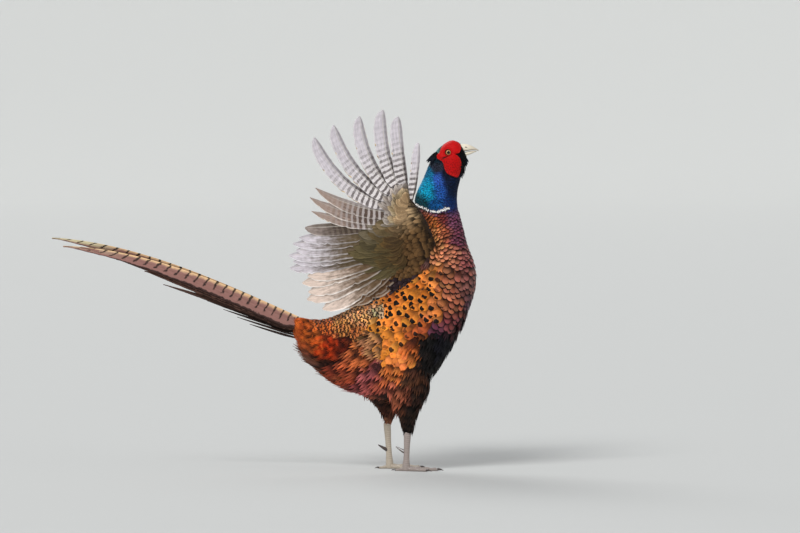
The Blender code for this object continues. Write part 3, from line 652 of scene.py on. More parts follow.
REGIONS = (
    Region("crown", 263, 489, 9, SILK, "1A4A46", "0A1818", 1.7),
    # Painted highlight: a pale green patch where light catches the crown.
    Region("crown_back", 257, 482, 6, SILK, "5A8884", "12302E", 1.7),
    Region("forehead", 290, 488, 6, SILK, "0A0C10", "050608", 1.4),
    Region("ear", 253, 470, 9, SILK, "0C2430", "060A10", 1.9),
    Region("lores", 295, 470, 7.5, SILK, "08090C", "040506", 1.4),
    Region("chin", 298, 459, 9, SHAG, "0A0A0D", "050507", 2.6, 3.8, 0.25, 1.0),
    Region("cheek", 257, 456, 7.5, SILK, "2A2C3A", "0A0A12", 2),
    Region("cheek_front", 271, 444, 7.5, SILK, "10142A", "080A14", 2),
    Region("nape", 244, 447, 9, SILK, "0F6C92", "062030", 2.1, fringe=0.3),
    # The bright teal is partly the neck feathers' own green-blue and partly a painted sheen, where light catches the
    # back of the neck.
    Region("neck_teal_high", 244, 434, 10.5, SILK, "1092BC", "063042", 2.3, fringe=0.35),
    Region("neck_teal", 245, 422, 10.5, SILK, "0E9EC4", "06303C", 2.4, fringe=0.35),
    Region("neck_blue_high", 259, 438, 9, SILK, "3560BC", "101C50", 2.3, fringe=0.4),
    Region("neck_blue", 262, 423, 10.5, SILK, "2458AC", "0A1844", 2.4, fringe=0.4),
    # Painted shadow: a dark line down the neck between the teal and the blue.
    Region("neck_seam", 254, 421, 4.5, SILK, "0C2A50", "041020", 2.4, fringe=0.3),
    Region("neck_navy", 281, 429, 15, SILK, "0A1A36", "040A18", 2.4, fringe=0.3),
    Region("neck_green", 233, 405, 12, SILK, "0D434E", "041418", 2.5, 3.0, fringe=0.35, free=0.35),
    Region("neck_low", 256, 400, 10.5, SILK, "11508A", "082240", 2.5, fringe=0.4),
    Region("neck_low_front", 278, 400, 13.5, SILK, "0F2E60", "06122C", 2.5, fringe=0.35),
    Region("under_ring_back", 229, 386, 10.5, SCALE, "B4644A", "1A080A", 3.9, fringe=1.0),
    Region("under_ring_side", 248, 376, 10.5, SCALE, "C06A34", "1E0A08", 4.1, fringe=1.15),
    Region("under_ring_dark", 263, 384, 9, SCALE, "72302A", "18060A", 4.1, fringe=1.0),
    Region("under_ring_front", 284, 381, 13.5, SCALE, "744058", "14060E", 4.1, fringe=0.9),
    Region("neck_gold", 247, 356, 13.5, SCALE, "F2A664", "2A0E08", 4.8, fringe=1.3),
    Region("neck_copper", 265, 358, 12, SCALE, "AC5C3C", "220A08", 4.8, fringe=1.25),
    Region("neck_purple", 286, 354, 15, SCALE, "70384A", "14060E", 4.8, fringe=1.0),
    Region("base_back", 257, 333, 13.5, SCALE, "CC8458", "1C0A08", 6.2, fringe=1.0),
    Region("base_side", 277, 330, 13.5, SCALE, "B87050", "1A080A", 6.6, fringe=1.0),
    Region("base_front", 299, 327, 15, SCALE, "985450", "16060E", 6.4, fringe=0.95),
    Region("chest_side", 275, 297, 16.5, SCALE, "98583C", "160808", 8.8, fringe=1.0, spot=0.25),
    Region("chest_front", 307, 291, 16.5, SCALE, "845048", "14060C", 8.6, fringe=0.95),
    Region("breast_side", 284, 261, 16.5, SCALE, "AC6246", "160808", 9.2, fringe=1.0, spot=0.3),
    Region("breast_front", 311, 258, 13.5, SCALE, "50283A", "0E060E", 8.8, fringe=0.85),
    Region("breast_low", 284, 234, 13.5, SCALE, "803E40", "120810", 9.2, fringe=0.8),
    Region("front_black", 302, 226, 15, SHAG, "0D0D16", "040408", 8.6, 2.6),
    # Dark feathers where the raised wing meets the body: painted shade.
    Region("axillary", 238, 330, 11, SHAG, "332629", "0E0A0C", 7, 3.2, free=0.25),
    Region("wing_root", 243, 319, 9, SHAG, "3A3640", "0E0C10", 7, 3.0, free=0.1),
    Region("axillary_rear", 229, 323, 8, SHAG, "332629", "0E0A0C", 7, 3.2, free=0.25),
    Region("axillary_end", 213, 317, 6, SHAG, "42301F", "120C0A", 6.5, 3.0, free=0.15),
    Region("mantle", 223, 306, 19, SCALE, "D8802A", "0E0906", 10.5, 2.1, spot=1.0),
    Region("scapulars", 199, 278, 18, SCALE, "D07226", "0E0906", 11, 2.1, spot=1.0),
    Region("scapulars_rear", 175, 260, 13.5, SCALE, "CC7624", "0E0906", 10, 2.1, spot=1.0),
    Region("side_high", 253, 300, 16.5, SCALE, "D88038", "0E0906", 10, 2.1, spot=1.0, fringe=0.15),
    Region("side", 238, 270, 19.5, SCALE, "E07E26", "0E0906", 11, 2.1, spot=1.0),
    Region("side_rear", 215, 243, 18, SCALE, "E6882E", "0E0906", 11.5, 2.1, spot=0.95),
    Region("side_front", 259, 255, 15, SCALE, "DC7A3C", "120906", 10.5, spot=0.9, fringe=0.3),
    Region("side_low", 238, 222, 13.5, SCALE, "B05424", "120906", 11, spot=0.7, fringe=0.3),
    Region("side_purple", 262, 226, 10.5, SCALE, "5A2C40", "120810", 10, spot=0.2, fringe=0.6),
    Region("gold", 179, 222, 10.5, SCALE, "EA9030", "120A06", 10, 2.4, 0.2, spot=0.9),
    Region("flank", 197, 201, 13.5, SCALE, "E6852E", "120A06", 10.5, 2.4, 0.4, spot=0.6),
    Region("flank_low", 212, 180, 11, SCALE, "E68240", "8A4020", 9, 2.6, 0.5),
    Region("flank_end", 196, 152, 9, SHAG, "C06A32", "4A1C16", 9.5, 2.6, 0.75),
    Region("flank_edge", 226, 188, 9, SHAG, "B8602A", "4A2010", 10, 2.8, 0.55),
    Region("flank_dark", 246, 203, 12.5, SHAG, "15100E", "050404", 9, 2.8, 0.5),
    Region("belly_front", 266, 205, 13.5, SHAG, "0C0C14", "040408", 9, 2.8, 0.4),
    Region("belly", 256, 162, 15, SHAG, "120D0C", "050404", 8.5, 3.0, 0.7),
    Region("belly_brown", 229, 153, 12, SHAG, "4A2A1A", "0E0806", 8.5, 3.0, 0.8),
    Region("belly_low", 238, 120, 16.5, SHAG, "2A1912", "0A0706", 8, 3.0, 0.85),
    Region("rear_low", 205, 123, 13.5, SHAG, "8C4C34", "241010", 10.5, 3.0, 0.75),
    Region("rear_purple", 164, 144, 13.5, SHAG, "A04E4C", "4A1A1A", 10.5, 2.8, 0.6),
    Region("rear_wine", 184, 135, 12.5, SHAG, "B25844", "381418", 10.5, 2.8, 0.7),
    Region("rear_side", 142, 174, 13, SHAG, "BE6234", "3A160E", 9.0, 3.2, 0.45),
    Region("rear_ochre", 130, 153, 13.5, SHAG, "8C3E26", "34180E", 9.5, 3.2, 0.5),
    Region("side_grey", 166, 198, 12, SHAG, "B07850", "3C2A1C", 8.0, 2.8, 0.35),
    Region("back", 145, 237, 15, SCALE, "DC9C62", "2C190C", 6, waves=1.0, fringe=0.1),
    Region("back_grey", 179, 246, 12.5, SCALE, "B09A78", "261C14", 6, waves=1.0, fringe=0.25),
    Region("back_rear", 121, 224, 13.5, SCALE, "C07C40", "321A0C", 5.6, waves=1.0, fringe=0.15),
    Region("rump_top", 97, 222, 13.5, SCALE, "B85A24", "3A1A0A", 5.4, waves=0.7, fringe=0.35),
    Region("rump_side", 145, 210, 12, SCALE, "AA6230", "2E1A0E", 5.8, waves=0.9, fringe=0.2),
    Region("rufous", 85, 192, 12, HAIR, "CC6226", "5A1608", 5.6, 4.4, 0.25),
    Region("rufous_red", 106, 190, 13, HAIR, "BE3A12", "561606", 5.6, 4.4, 0.35),
    Region("rufous_dark", 125, 190, 11, HAIR, "682010", "260A06", 5.8, 4.0, 0.4),
    Region("under_rufous", 104, 168, 7.5, HAIR, "3A1A10", "120806", 5.8, 3.6, 0.4),
    Region("tail_coverts", 65, 216, 10.5, HAIR, "B8541E", "5C260E", 5.2, 3.2, -0.1, 0.3),
    Region("undertail_edge", 70, 177, 10.5, HAIR, "A04A22", "3A1A10", 5.6, 5.0, free=0.6),
    Region("undertail", 70, 159, 10.5, SHAG, "6A4434", "1C1412", 7, 4.6, 0.1, 1.0),
    Region("thigh", 220, 87, 13.5, SHAG, "261812", "0A0706", 6.4, 3.0, 0.9),
    Region("thigh_rear", 190, 98, 14.5, SHAG, "4A2A1E", "140C0A", 6.4, 3.0, 0.9),
    Region("hock", 215, 63, 10.5, SHAG, "1E130F", "080605", 4.6, 2.6, 1.0),
    Region("hock_rear", 184, 78, 9, SHAG, "8A5A44", "3A2018", 4.6, 2.6, 1.0),
)


@dataclass
class Collar:
    """The thin white ring round the neck, open at the front."""

    path: tuple = (
        (0.0, 6.95), (30.0, 6.9), (55.0, 6.78), (72.0, 6.69), (88.0, 6.7), (104.0, 6.79), (121.0, 6.85), (126.0, 6.86),
    )
    open_from: float = 124.0

    def middle(self, turn: float) -> float:
        """Where along the trunk the ring is, at a turn from the back."""
        return float(np.interp(turn, *np.array(self.path).T))


@dataclass
class Blades:
    """The small feathers' own shapes, as closed thin meshes that the coat repeats."""

    outlines: dict[Kind, tuple] = field(default_factory=lambda: {
        SILK: ((0.0, 0.5), (0.45, 1.0), (0.82, 0.75), (1.0, 0.15)),
        SCALE: ((0.0, 0.35), (0.3, 0.85), (0.58, 1.0), (0.78, 0.92), (0.92, 0.62), (1.0, 0.12)),
        HAIR: ((0.0, 1.0), (0.4, 0.9), (0.75, 0.6), (1.0, 0.06)),
        SHAG: ((0.0, 0.9), (0.35, 1.0), (0.7, 0.7), (1.0, 0.08)),
    })
    columns: dict[Kind, int] = field(default_factory=lambda: {SILK: 3, SCALE: 5, HAIR: 3, SHAG: 3})
    strands: dict[Kind, tuple] = field(default_factory=lambda: {
        # Each strand is (where it starts across, where it ends across, its half width, its length).
        SILK: ((0.0, 0.0, 1.0, 1.0),),
        SCALE: ((0.0, 0.0, 1.0, 1.0),),
        HAIR: ((-0.5, -1.0, 0.2, 0.8), (-0.25, -0.45, 0.22, 0.95), (0.0, 0.05, 0.24, 1.0), (0.25, 0.5, 0.22, 0.9),
               (0.5, 1.0, 0.2, 0.78)),
        SHAG: ((-0.35, -0.7, 0.36, 0.84), (0.0, 0.05, 0.42, 1.0), (0.35, 0.72, 0.36, 0.88)),
    })
    thick: float = 0.28
    late: float = 1.3  # how late a strand turns aside
    point: float = 0.05  # how far the tip's middle stands out

    def make(self, kind: Kind) -> Object:
        """Makes one feather, from 0 to 1 along y and -1 to 1 across x.

        Args:
            kind: Its shape.

        Returns:
            The object, whose vertices hold those places as their local value.
        """
        maker, rows, count = MeshMaker(), self.outlines[kind], self.columns[kind]
        last = (len(rows) - 1) * count
        for start, end, half, length in self.strands[kind]:
            points, faces = [], []
            for along, wide in rows:
                middle = start + (end - start) * along**self.late
                for across in np.linspace(-1, 1, count):
                    pointed = along * length - self.point * across**2 * (along > 0.5)
                    points.append((middle + across * wide * half, pointed, (1 - across**2) * self.thick))
            for base in range(0, last, count):
                faces += [(base + k, base + k + 1, base + count + k + 1, base + count + k) for k in range(count - 1)]
                faces.append((base + count - 1, base, base + count, base + 2 * count - 1))
            faces += [tuple(range(count))[::-1], tuple(range(last, last + count))]
            points = np.array(points)
            maker.add(points / MM, faces, local=points)
        return maker.make(f"blade_{kind.value}", sharp=60.0)


@dataclass
class Coat:
    """Geometry nodes that set a feather on each root and lay it along the skin."""

    sunk: float = 0.0006
    camber: float = 0.0004
    sockets: dict[str, str] = field(default_factory=dict)

    def tree(self, kind: Kind) -> NodeTree:
        """Builds the tree for one shape of feather.

        Args:
            kind: The shape, which names the tree.

        Returns:
            The tree, with the feather, the skin, its material and its sizes as inputs.
        """
        made = bpy.data.node_groups.new(f"coat_{kind.value}", "GeometryNodeTree")
        socket = partial(made.interface.new_socket, in_out="INPUT")
        self.sockets = {name: socket(name=name, socket_type=f"NodeSocket{sort}").identifier for name, sort in {
            "Roots": "Geometry", "Feather": "Object", "Skin": "Object", "Finish": "Material", "Sunk": "Float",
            "Camber": "Float"}.items()}
        socket(name="Coat", in_out="OUTPUT", socket_type="NodeSocketGeometry")
        add = partial(node, made)
        given = add("NodeGroupInput", out=None)
        root, lie, normal, local, size, loose = (
            add("GeometryNodeInputNamedAttribute", {"Name": name}, data_type="FLOAT_VECTOR")
            for name in ("root", "lie", "normal", "local", "size", "loose"))
        feather = add("GeometryNodeObjectInfo", {"Object": given["Feather"]}, out="Geometry")
        skin = add("GeometryNodeObjectInfo", {"Object": given["Skin"]}, out="Geometry")
        placed = add("GeometryNodeInstanceOnPoints", {"Points": given["Roots"], "Instance": feather})
        real = add("GeometryNodeRealizeInstances", placed)
        across, along, thick = add("SeparateXYZ", local, out=None)
        long, wide, rise = add("SeparateXYZ", size, out=None)
        flat = add("VectorMath.SCALE", {0: lie, "Scale": add("Math.MULTIPLY", along, long)})
        aside = add("VectorMath.SCALE", {0: add("VectorMath.CROSS_PRODUCT", lie, normal),
                                         "Scale": add("Math.MULTIPLY", across, wide)})
        flat = add("VectorMath.ADD", add("VectorMath.ADD", root, flat), aside)
        near = add("GeometryNodeProximity", {"Geometry": skin, "Sample Position": flat}, target_element="FACES")
        outward = add("GeometryNodeSampleNearestSurface", {
            "Mesh": skin, "Value": add("GeometryNodeInputNormal"), "Sample Position": flat}, data_type="FLOAT_VECTOR")
        # Each vertex stands off the skin by the tip's rise, the web's camber and the blade's thickness.
        lift = add("Math.MULTIPLY", add("Math.POWER", along, 0.8), rise)
        bow = add("Math.MULTIPLY", add("Math.SUBTRACT", 1.0, add("Math.POWER", across, 2.0)), given["Camber"])
        lift = add("Math.SUBTRACT", add("Math.MULTIPLY_ADD", thick, MM, add("Math.ADD", lift, bow)), given["Sunk"])
        laid = add("VectorMath.ADD", near, add("VectorMath.SCALE", {0: outward, "Scale": lift}))
        freed = add("VectorMath.ADD", flat, add("VectorMath.SCALE", {0: normal, "Scale": lift}))
        free = add("SeparateXYZ", loose, out=0)
        free = add("Math.MULTIPLY", free, add("Math.POWER", along, 1.5))
        mixed = add("Mix", {0: free, 4: laid, 5: freed}, data_type="VECTOR", out=1)
        moved = add("GeometryNodeSetPosition", {"Geometry": real, "Position": mixed})
        done = add("GeometryNodeSetMaterial", {"Geometry": moved, "Material": given["Finish"]})
        node(made, "NodeGroupOutput", done, out=None)
        return made

    def lay(self, name: str, kind: Kind, roots: dict[str, Array], skin: Object, finish: Material) -> Object:
        """Lays feathers of one shape over a skin.

        Args:
            name: The piece's name.
            kind: The feathers' shape.
            roots: By attribute name, a row for each feather. The root is in metres.
            skin: What they lie on.
            finish: Their material.

        Returns:
            The piece, as a plain mesh.
        """
        mesh = bpy.data.meshes.new(name)
        mesh.from_pydata(roots["root"].tolist(), [], [])
        for key, rows in roots.items():
            store(mesh, key, rows)
        piece, feather = linked(name, mesh), Blades().make(kind)
        step = piece.modifiers.new("coat", "NODES")
        step.node_group = self.tree(kind)
        for key, value in {"Feather": feather, "Skin": skin, "Finish": finish, "Sunk": self.sunk,
                           "Camber": self.camber}.items():
            step[self.sockets[key]] = value
        flatten(piece)
        bpy.data.objects.remove(feather)
        place, local = read(piece.data, "patch"), read(piece.data, "local")
        own = np.stack([local[:, 0] / 2, local[:, 1] - 0.5], 1) * BAKE_PATCH
        bake_map(piece, place[:, :2] + own)
        piece.data.shade_smooth()
        return piece


@dataclass
class Wing:
    """One raised wing: flesh, flight feathers and tiers of coverts on a curved sheet."""

    side: Side
    shoulder: tuple = (253.0, 309.0)
    sheet_up: tuple = (-0.5, 0.866)
    sheet_root: float = 31.0
    sheet_lean: float = 0.35
    sheet_curl: float = 0.0014
    far_drop: float = 0.07
    flesh: tuple = (
        (266, 285, 196, 268, 6.0), (263, 312, 199, 292, 9.0), (257, 342, 201, 318, 8.5), (246, 371, 203, 345, 7.5),
        (236, 389, 204, 371, 6.5), (227, 402, 206, 389, 5.0), (219, 412, 209, 407, 3.0),
    )
    flesh_depth: float = 1.6
    # Each primary: its turn from straight up in degrees, its length and its bend in degrees.
    primaries: tuple = (
        (-7.4, 102.5, -12), (7, 128, 10), (15, 145, 37), (28, 152, 48), (41, 166, 50),
        (51, 176, 57), (74, 141, 34), (79, 146, 36), (86, 141, 29), (95, 151, 9),
    )
    primary_roots: tuple = ((215, 408), (211, 380))
    outer_root: tuple = (216, 392)
    inner_bend: float = 5.0
    inner_tips: tuple = (
        (52, 352), (43, 343), (47, 333), (37, 325), (43, 316), (38, 306), (64, 294), (56, 283), (65, 269), (63, 258),
        (86, 243), (104, 246), (124, 253), (150, 264),
    )
    inner_roots: tuple = ((212, 371), (209, 356), (207, 347), (206, 340), (206, 334), (207, 327))
    web_front: float = 5.6
    web_rear: float = 14.0
    step_out: float = 1.5
    # The webs' widths along the length, for each sort of feather.
    web: tuple = (
        (0.0, 0.14), (0.1, 0.3), (0.28, 0.93), (0.52, 1.0), (0.78, 0.98), (0.9, 0.84), (0.97, 0.5), (1.0, 0.1),
    )
    inner_web: tuple = ((0.0, 0.25), (0.13, 0.5), (0.35, 1.0), (0.68, 1.0), (0.84, 0.85), (0.95, 0.5), (1.0, 0.1))
    covert_web: tuple = ((0.0, 0.4), (0.45, 1.0), (0.8, 0.92), (0.94, 0.6), (1.0, 0.12))
    pointed_web: tuple = ((0.0, 0.14), (0.1, 0.3), (0.28, 0.93), (0.6, 1.0), (0.8, 0.72), (0.92, 0.4), (1.0, 0.06))
    # Up to which feather: the ground, mark, tip and rim seen from below, and how strong the bars
    # are, where the tip's colour begins and how strong it is.
    looks: dict[int, tuple] = field(default_factory=lambda: {
        6: ("F2EAEA", "4E4240", "EAE2EA", "F6F0F2", (0.85, 0.64, 0.9)),
        9: ("5E4E46", "D4CAC8", "B8A094", "FFF6EE", (0.72, 0.72, 0.9)),
        10: ("50433A", "9A8C7C", "B8A8A2", "E6DAD4", (0.25, 0.95, 0.8)),
        16: ("62523C", "746450", "E6DEE6", "F8F4F8", (0.25, 0.86, 0.95)),
        21: ("66503A", "7A644C", "EED8CA", "FCF6F0", (0.2, 0.8, 0.95)),
        99: ("543A24", "6E5238", "A88468", "F0E2D2", (0.2, 0.95, 0.8)),
    })
    # The same four colours seen from above, on the hand and on the arm.
    upper_looks: tuple = (("7A6048", "CDB184", "B89A78", "D8CCBC"), ("745A44", "B99C72", "A88C68", "CFC2AE"))
    # Tiers of coverts: how far out, reach on the hand and on the arm, width, and the ground, mark,
    # tip and rim, of the hand and the arm where they differ.
    tiers: tuple = (
        (2.4, 0.2, 0.42, 1.0, ("8C7E74", "3A2E26", "D4C8C0", "ECE4DE"), ("50462C", "3C321E", "605438", "726444")),
        (3.6, 0.15, 0.31, 0.95, ("94805F", "3E3020", "CCB494", "E6D6BC"), ("4A3C22", "30260F", "5E4C2A", "6E5A34")),
        (4.6, 0.1, 0.21, 0.9, ("A88A66", "4A3822", "D4B48C", "E6CCA6"), ("42301A", "241808", "6A5028", "7C6034")),
        (-2.4, 0.42, 0.5, 1.05, ("6C5642", "BFA27C", "B89A74", "D0B68E")),
        (-3.6, 0.3, 0.36, 1.0, ("7A6450", "A88C6A", "C9B08A", "D8C29C")),
        (-4.6, 0.2, 0.24, 0.95, ("8A7660", "6A4A38", "CDB48E", "DCC8A2")),
    )
    columns: tuple = (-1.0, -0.6, -0.12, 0.0, 0.06, 0.35, 0.7, 1.0)
    rows_a_vane: int = 34
    rows_a_covert: int = 12
    camber: float = 0.5
    web_half: tuple = (0.5, 0.3, 0.24, 0.13)  # half thickness of the shaft, its taper, beside it and in the web
    split_chance: float = 0.07
    split_edge: float = 0.86
    uneven: float = 0.018
    least_apart: float = 3.0
    covert_spacing: float = 6.2

    def __post_init__(self) -> None:
        """Works out every flight feather's shaft, from the outermost primary in."""
        shafts = []
        for k, (turn, length, bend) in enumerate(self.primaries):
            root = smooth_row(self.primary_roots, k / (len(self.primaries) - 1))
            if k == 0:
                root = np.array(self.outer_root)
            a = radians(turn)
            shafts.append((root, root + np.array([-sin(a), cos(a)]) * length, bend))
        for k, tip in enumerate(self.inner_tips):
            root = smooth_row(self.inner_roots, k / (len(self.inner_tips) - 1) * (len(self.inner_roots) - 1))
            shafts.append((root, np.array(tip), self.inner_bend))
        self.shafts = np.array([(root, self.knee(root, tip, bend), tip) for root, tip, bend in shafts])
        self.count = len(self.shafts)

    @staticmethod
    def knee(root: Array, tip: Array, bend: float) -> Array:
        """The middle control point of a shaft that turns by a bend in degrees."""
        return (root + tip) / 2 + np.array([root[1] - tip[1], tip[0] - root[0]]) * tan(radians(bend) / 2) / 2

    def sheet(self, points: Array, off: Array) -> Array:
        """The places in space of points seen from the side.

        Args:
            points: Their x and z.
            off: How far out each is from the wing's middle surface.

        Returns:
            Their x, y and z.
        """
        x, z = points[..., 0], points[..., 1]
        up = (x - self.shoulder[0]) * self.sheet_up[0] + (z - self.shoulder[1]) * self.sheet_up[1]
        rise = np.maximum(up, 0.0)
        out = self.sheet_root + self.sheet_lean * up + self.sheet_curl * rise**2
        out = out + off * np.hypot(1.0, self.sheet_lean + 2 * self.sheet_curl * rise)
        if self.side is Side.LEFT:
            z = z - self.far_drop * np.abs(out)
        return np.stack([x, self.side.value * out, z], -1)

    def flesh_rings(self, points: int) -> Array:
        """The rings of the wing's flesh, less the depth of the coverts, from the shoulder out.

        Args:
            points: How many points go round one.

        Returns:
            An array of rings, points and coordinates.
        """
        found, sunk, a = [], self.flesh_depth, angles_round(points)
        for place in np.linspace(0, len(self.flesh) - 1, 31):
            front, rear, half = self.chord(place)
            long = (front - rear) / 2 * (1 - sunk / np.linalg.norm(front - rear) * 2)
            flat = (front + rear) / 2 + long * np.cos(a)[:, None]
            found.append(self.sheet(flat, max(half - sunk, 0.8) * np.sin(a)))
        return np.array(found)

    def chord(self, place: float) -> tuple[Array, Array, float]:
        """The front, the rear and the half thickness of the flesh at a place along the wing."""
        row = smooth_row(self.flesh, place)
        return row[:2], row[2:4], row[4]

    def shaft(self, k: float) -> Array:
        """The root, knee and tip of a feather, or of a place between two."""
        low = int(min(max(floor(k), 0), self.count - 2))
        return self.shafts[low] + (self.shafts[low + 1] - self.shafts[low]) * (k - low)

    @staticmethod
    def along(shaft: Array, share: Array) -> Array:
        """The points at shares of a shaft's length."""
        s = share[..., None]
        return shaft[0] * (1 - s) ** 2 + shaft[1] * 2 * s * (1 - s) + shaft[2] * s**2

    @staticmethod
    def across(shaft: Array, share: Array) -> Array:
        """The ways across a shaft at shares of its length, towards the rear web."""
        s = share[..., None]
        way = unit((shaft[1] - shaft[0]) * (1 - s) + (shaft[2] - shaft[1]) * s)
        return np.stack([-way[..., 1], way[..., 0]], -1)

    def vane(self, maker: MeshMaker, k: float, web: tuple, rng: Generator, reach: float = 1.0,
             wider: float = 1.0, off: float = 0.0, thin: float = 1.0, island: tuple = (0.0, 1.0, 0.0, 1.0),
             **colours: tuple) -> None:
        """Adds one feather of the wing as a closed thin web with a raised shaft.

        Args:
            maker: What gathers the mesh.
            k: Its number along the wing, which may lie between two.
            web: How wide it is along its length.
            rng: The seeded source of chance.
            reach: Its length, by the flight feather's.
            wider: Its width, by the flight feather's.
            off: How far out it lies from the flight feathers.
            thin: Its thickness, by the flight feather's.
            island: Its place on the map for baking, as low and high u and v.
            colours: By attribute name, its rows on the underside and on the upper side.
        """
        rows = self.rows_a_vane if reach == 1.0 else self.rows_a_covert
        share = np.linspace(0, 1, rows) ** 0.92
        shaft, near = self.shaft(k), self.shaft(k + 1 if k + 1 < self.count else k - 1)
        point, way = self.along(shaft, share * reach), self.across(shaft, share * reach)
        apart = np.maximum(self.least_apart, np.linalg.norm(point - self.along(near, share * reach), axis=1))
        wide = profile(web, share) * wider * (1 + 0.05 * rng.standard_normal())
        split = np.where(rng.random(rows) < self.split_chance, self.split_edge, 1.0)
        split = split * (1 + self.uneven * rng.standard_normal(rows))
        length = np.linalg.norm(shaft[2] - shaft[0]) * reach
        quill, taper, beside, thinnest = self.web_half
        cells = []
        for sign in (1.0, -1.0):
            for c in self.columns:
                across = c * (self.web_front if c < 0 else self.web_rear) * wide * (split if abs(c) == 1.0 else 1.0)
                over = self.step_out * across / apart + off - self.camber * c * c
                half = thin * ((quill - taper * share) if abs(c) < 0.05 else (beside if abs(c) < 0.2 else thinnest))
                cells.append(self.sheet(point + way * across[:, None], over + sign * half))
        count, total = len(self.columns), 2 * len(self.columns)
        across = np.tile([c * 0.4 if c < 0 else c for c in self.columns], (rows, 2))
        place = np.stack([across, np.repeat(share[:, None] * length, total, 1),
                          np.repeat(share[:, None], total, 1)], -1).reshape(-1, 3)
        under = np.tile(np.repeat([1.0, 0.0], count), rows)[:, None]
        values = {name: np.where(under > 0.5, np.array(pair[0]), np.array(pair[1])) for name, pair in colours.items()}
        low_u, high_u, low_v, high_v = island
        half = (high_u - low_u) / 2
        u = low_u + (np.array(self.columns) + 1) / 2 * half * 0.92
        spot = np.stack([np.tile(np.concatenate([u, u + half]), rows),
                         np.repeat(low_v + share * (high_v - low_v) * 0.98, total), np.zeros(rows * total)], 1)
        maker.add(np.array(cells).transpose(1, 0, 2).reshape(-1, 3), web_faces(rows, count), vane=place, patch=spot,
                  **values)

    def flight_colours(self, k: int) -> dict[str, tuple]:
        """The colours of a flight feather.

        Args:
            k: Its number along the wing.

        Returns:
            By attribute name, the row of its underside and that of its upper side.
        """
        *under, traits = next(values for last, values in self.looks.items() if k < last)
        upper = self.upper_looks[k >= len(self.primaries)]
        names = ("ground", "mark", "tip", "rim")
        return {**{name: (linear(a), linear(b)) for name, a, b in zip(names, under, upper)},
                "traits": (traits, (0.85, 0.97, 0.4))}

    def flights(self, finish: Material) -> Object:
        """Makes all the flight feathers as one piece in place of the wing's nodes.

        Args:
            finish: Their material.

        Returns:
            The piece.
        """
        maker, rng = MeshMaker(), np.random.default_rng(5)
        for k in range(self.count):
            inner = k >= len(self.primaries)
            wider = 1.1 + 0.045 * (k - 10) if inner else (0.68 if k == 0 else 1.0)
            web = self.inner_web if inner else (self.pointed_web if 5 < k < 9 else self.web)
            island = (k / self.count, (k + 0.96) / self.count, 0.01, 0.99)
            self.vane(maker, k, web, rng, wider=wider, island=island, **self.flight_colours(k))
        wing = f"wing_{self.side.label}"
        return dress(vane_piece(maker, f"{wing}_flights"), finish, "flight", f"{wing}_hand", f"{wing}_arm")

    def coverts(self, finish: Material) -> Object:
        """Makes the tiers of coverts on both faces as one piece.

        Args:
            finish: Their material.

        Returns:
            The piece.
        """
        maker, rng = MeshMaker(), np.random.default_rng(6)
        numbers = np.concatenate([np.arange(0.9, 9.5, 0.33), np.arange(9.6, self.count - 1.05, 0.4)])
        for tier, (off, hand, arm, wide, *colours) in enumerate(self.tiers):
            for index, k in enumerate(numbers):
                inner = 1 / (1 + exp(-(k - 8.5) * 1.1))
                lift = off + 0.3 * rng.standard_normal()
                size = (hand + (arm - hand) * inner) * (1 + 0.1 * rng.standard_normal())
                low = tier / len(self.tiers)
                island = (index / len(numbers), (index + 0.96) / len(numbers), low, low + 0.95 / len(self.tiers))
                tone = np.array([*[1 + 0.16 * rng.standard_normal()] * 3, 1]).clip(0.5, 1.5)
                looks = {name: [(linear(a) + (linear(b) - linear(a)) * inner) * tone] * 2 for name, a, b in zip(
                    ("ground", "mark", "tip", "rim"), colours[0], colours[-1])}
                self.vane(maker, k, self.covert_web, rng, size, wide * (0.5 + 0.62 * inner), lift, 0.7, island,
                          **looks, traits=((0.12, 0.9, 0.7), (0.6, 0.9, 0.6)))
        return dress(vane_piece(maker, f"wing_{self.side.label}_coverts"), finish, "flight")

    def lesser(self, rng: Generator) -> dict[str, Array]:
        """The roots of the small coverts over the flesh, on both faces.

        Args:
            rng: The seeded source of chance.

        Returns:
            By attribute name, a row for each feather.
        """
        found, spacing, last = [], self.covert_spacing, len(self.flesh) - 1
        for place in np.arange(0.05, last, spacing / 28.0):
            front, rear, half = self.chord(place)
            chord = np.linalg.norm(front - rear)
            steps = [(face, step) for face in (1.0, -1.0) for step in np.arange(0.0, chord, spacing)]
            for face, step in steps:
                share = (step + spacing * rng.random()) / chord
                if share > 1:
                    continue
                flat = front + (rear - front) * share
                shaft = self.shaft(np.interp(place, (0, last), (self.count - 2, 0)))
                way = unit(shaft[1] - shaft[0]) + unit(rear - front) * 0.6 + 0.16 * rng.standard_normal(2)
                off = face * (half - self.flesh_depth) * sqrt(max(0.0, 1 - (2 * share - 1) ** 2))
                here, ahead = (self.sheet(p, np.array(off)) for p in (flat, flat + unit(way)))
                beside = self.sheet(flat + np.array([-way[1], way[0]]), np.array(off))
                lie = unit(ahead - here)
                normal = unit(np.cross(lie, beside - here))
                # Painted shade: near the shoulder one face's small coverts are dark, where the wing meets the body.
                dark = place < 0.75 + 0.5 * (share - 0.5)
                wrist = min(1.0, max(0.0, place - 2.8) / 1.4)
                golden = "".join(f"{round(a + (b - a) * wrist):02X}" for a, b in zip((94, 68, 40), (186, 156, 118)))
                under = ("2E2226", "0E0A0C") if dark else (golden, "1C1208")
                ground, mark = under if face > 0 else ("8C7458", "4A3426")
                found.append({
                    "ground": linear(ground) * max(0.5, 1 + 0.22 * rng.standard_normal()), "mark": linear(mark),
                    "root": here * MM, "normal": normal * np.sign(normal[1] * self.side.value * face), "lie": lie,
                    "size": (0.0185 + 0.004 * wrist, 0.0052 - 0.0024 * wrist, 0.0026 + 0.0014 * rng.random()),
                    "loose": (0.9, 0.0, 0.0), "traits": (0.0, 0.0, 0.0),
                    "patch": (0.02 + 0.4 * place / last + 0.5 * (face < 0), 0.03 + 0.9 * share, 0),
                })
        return by_name(found)


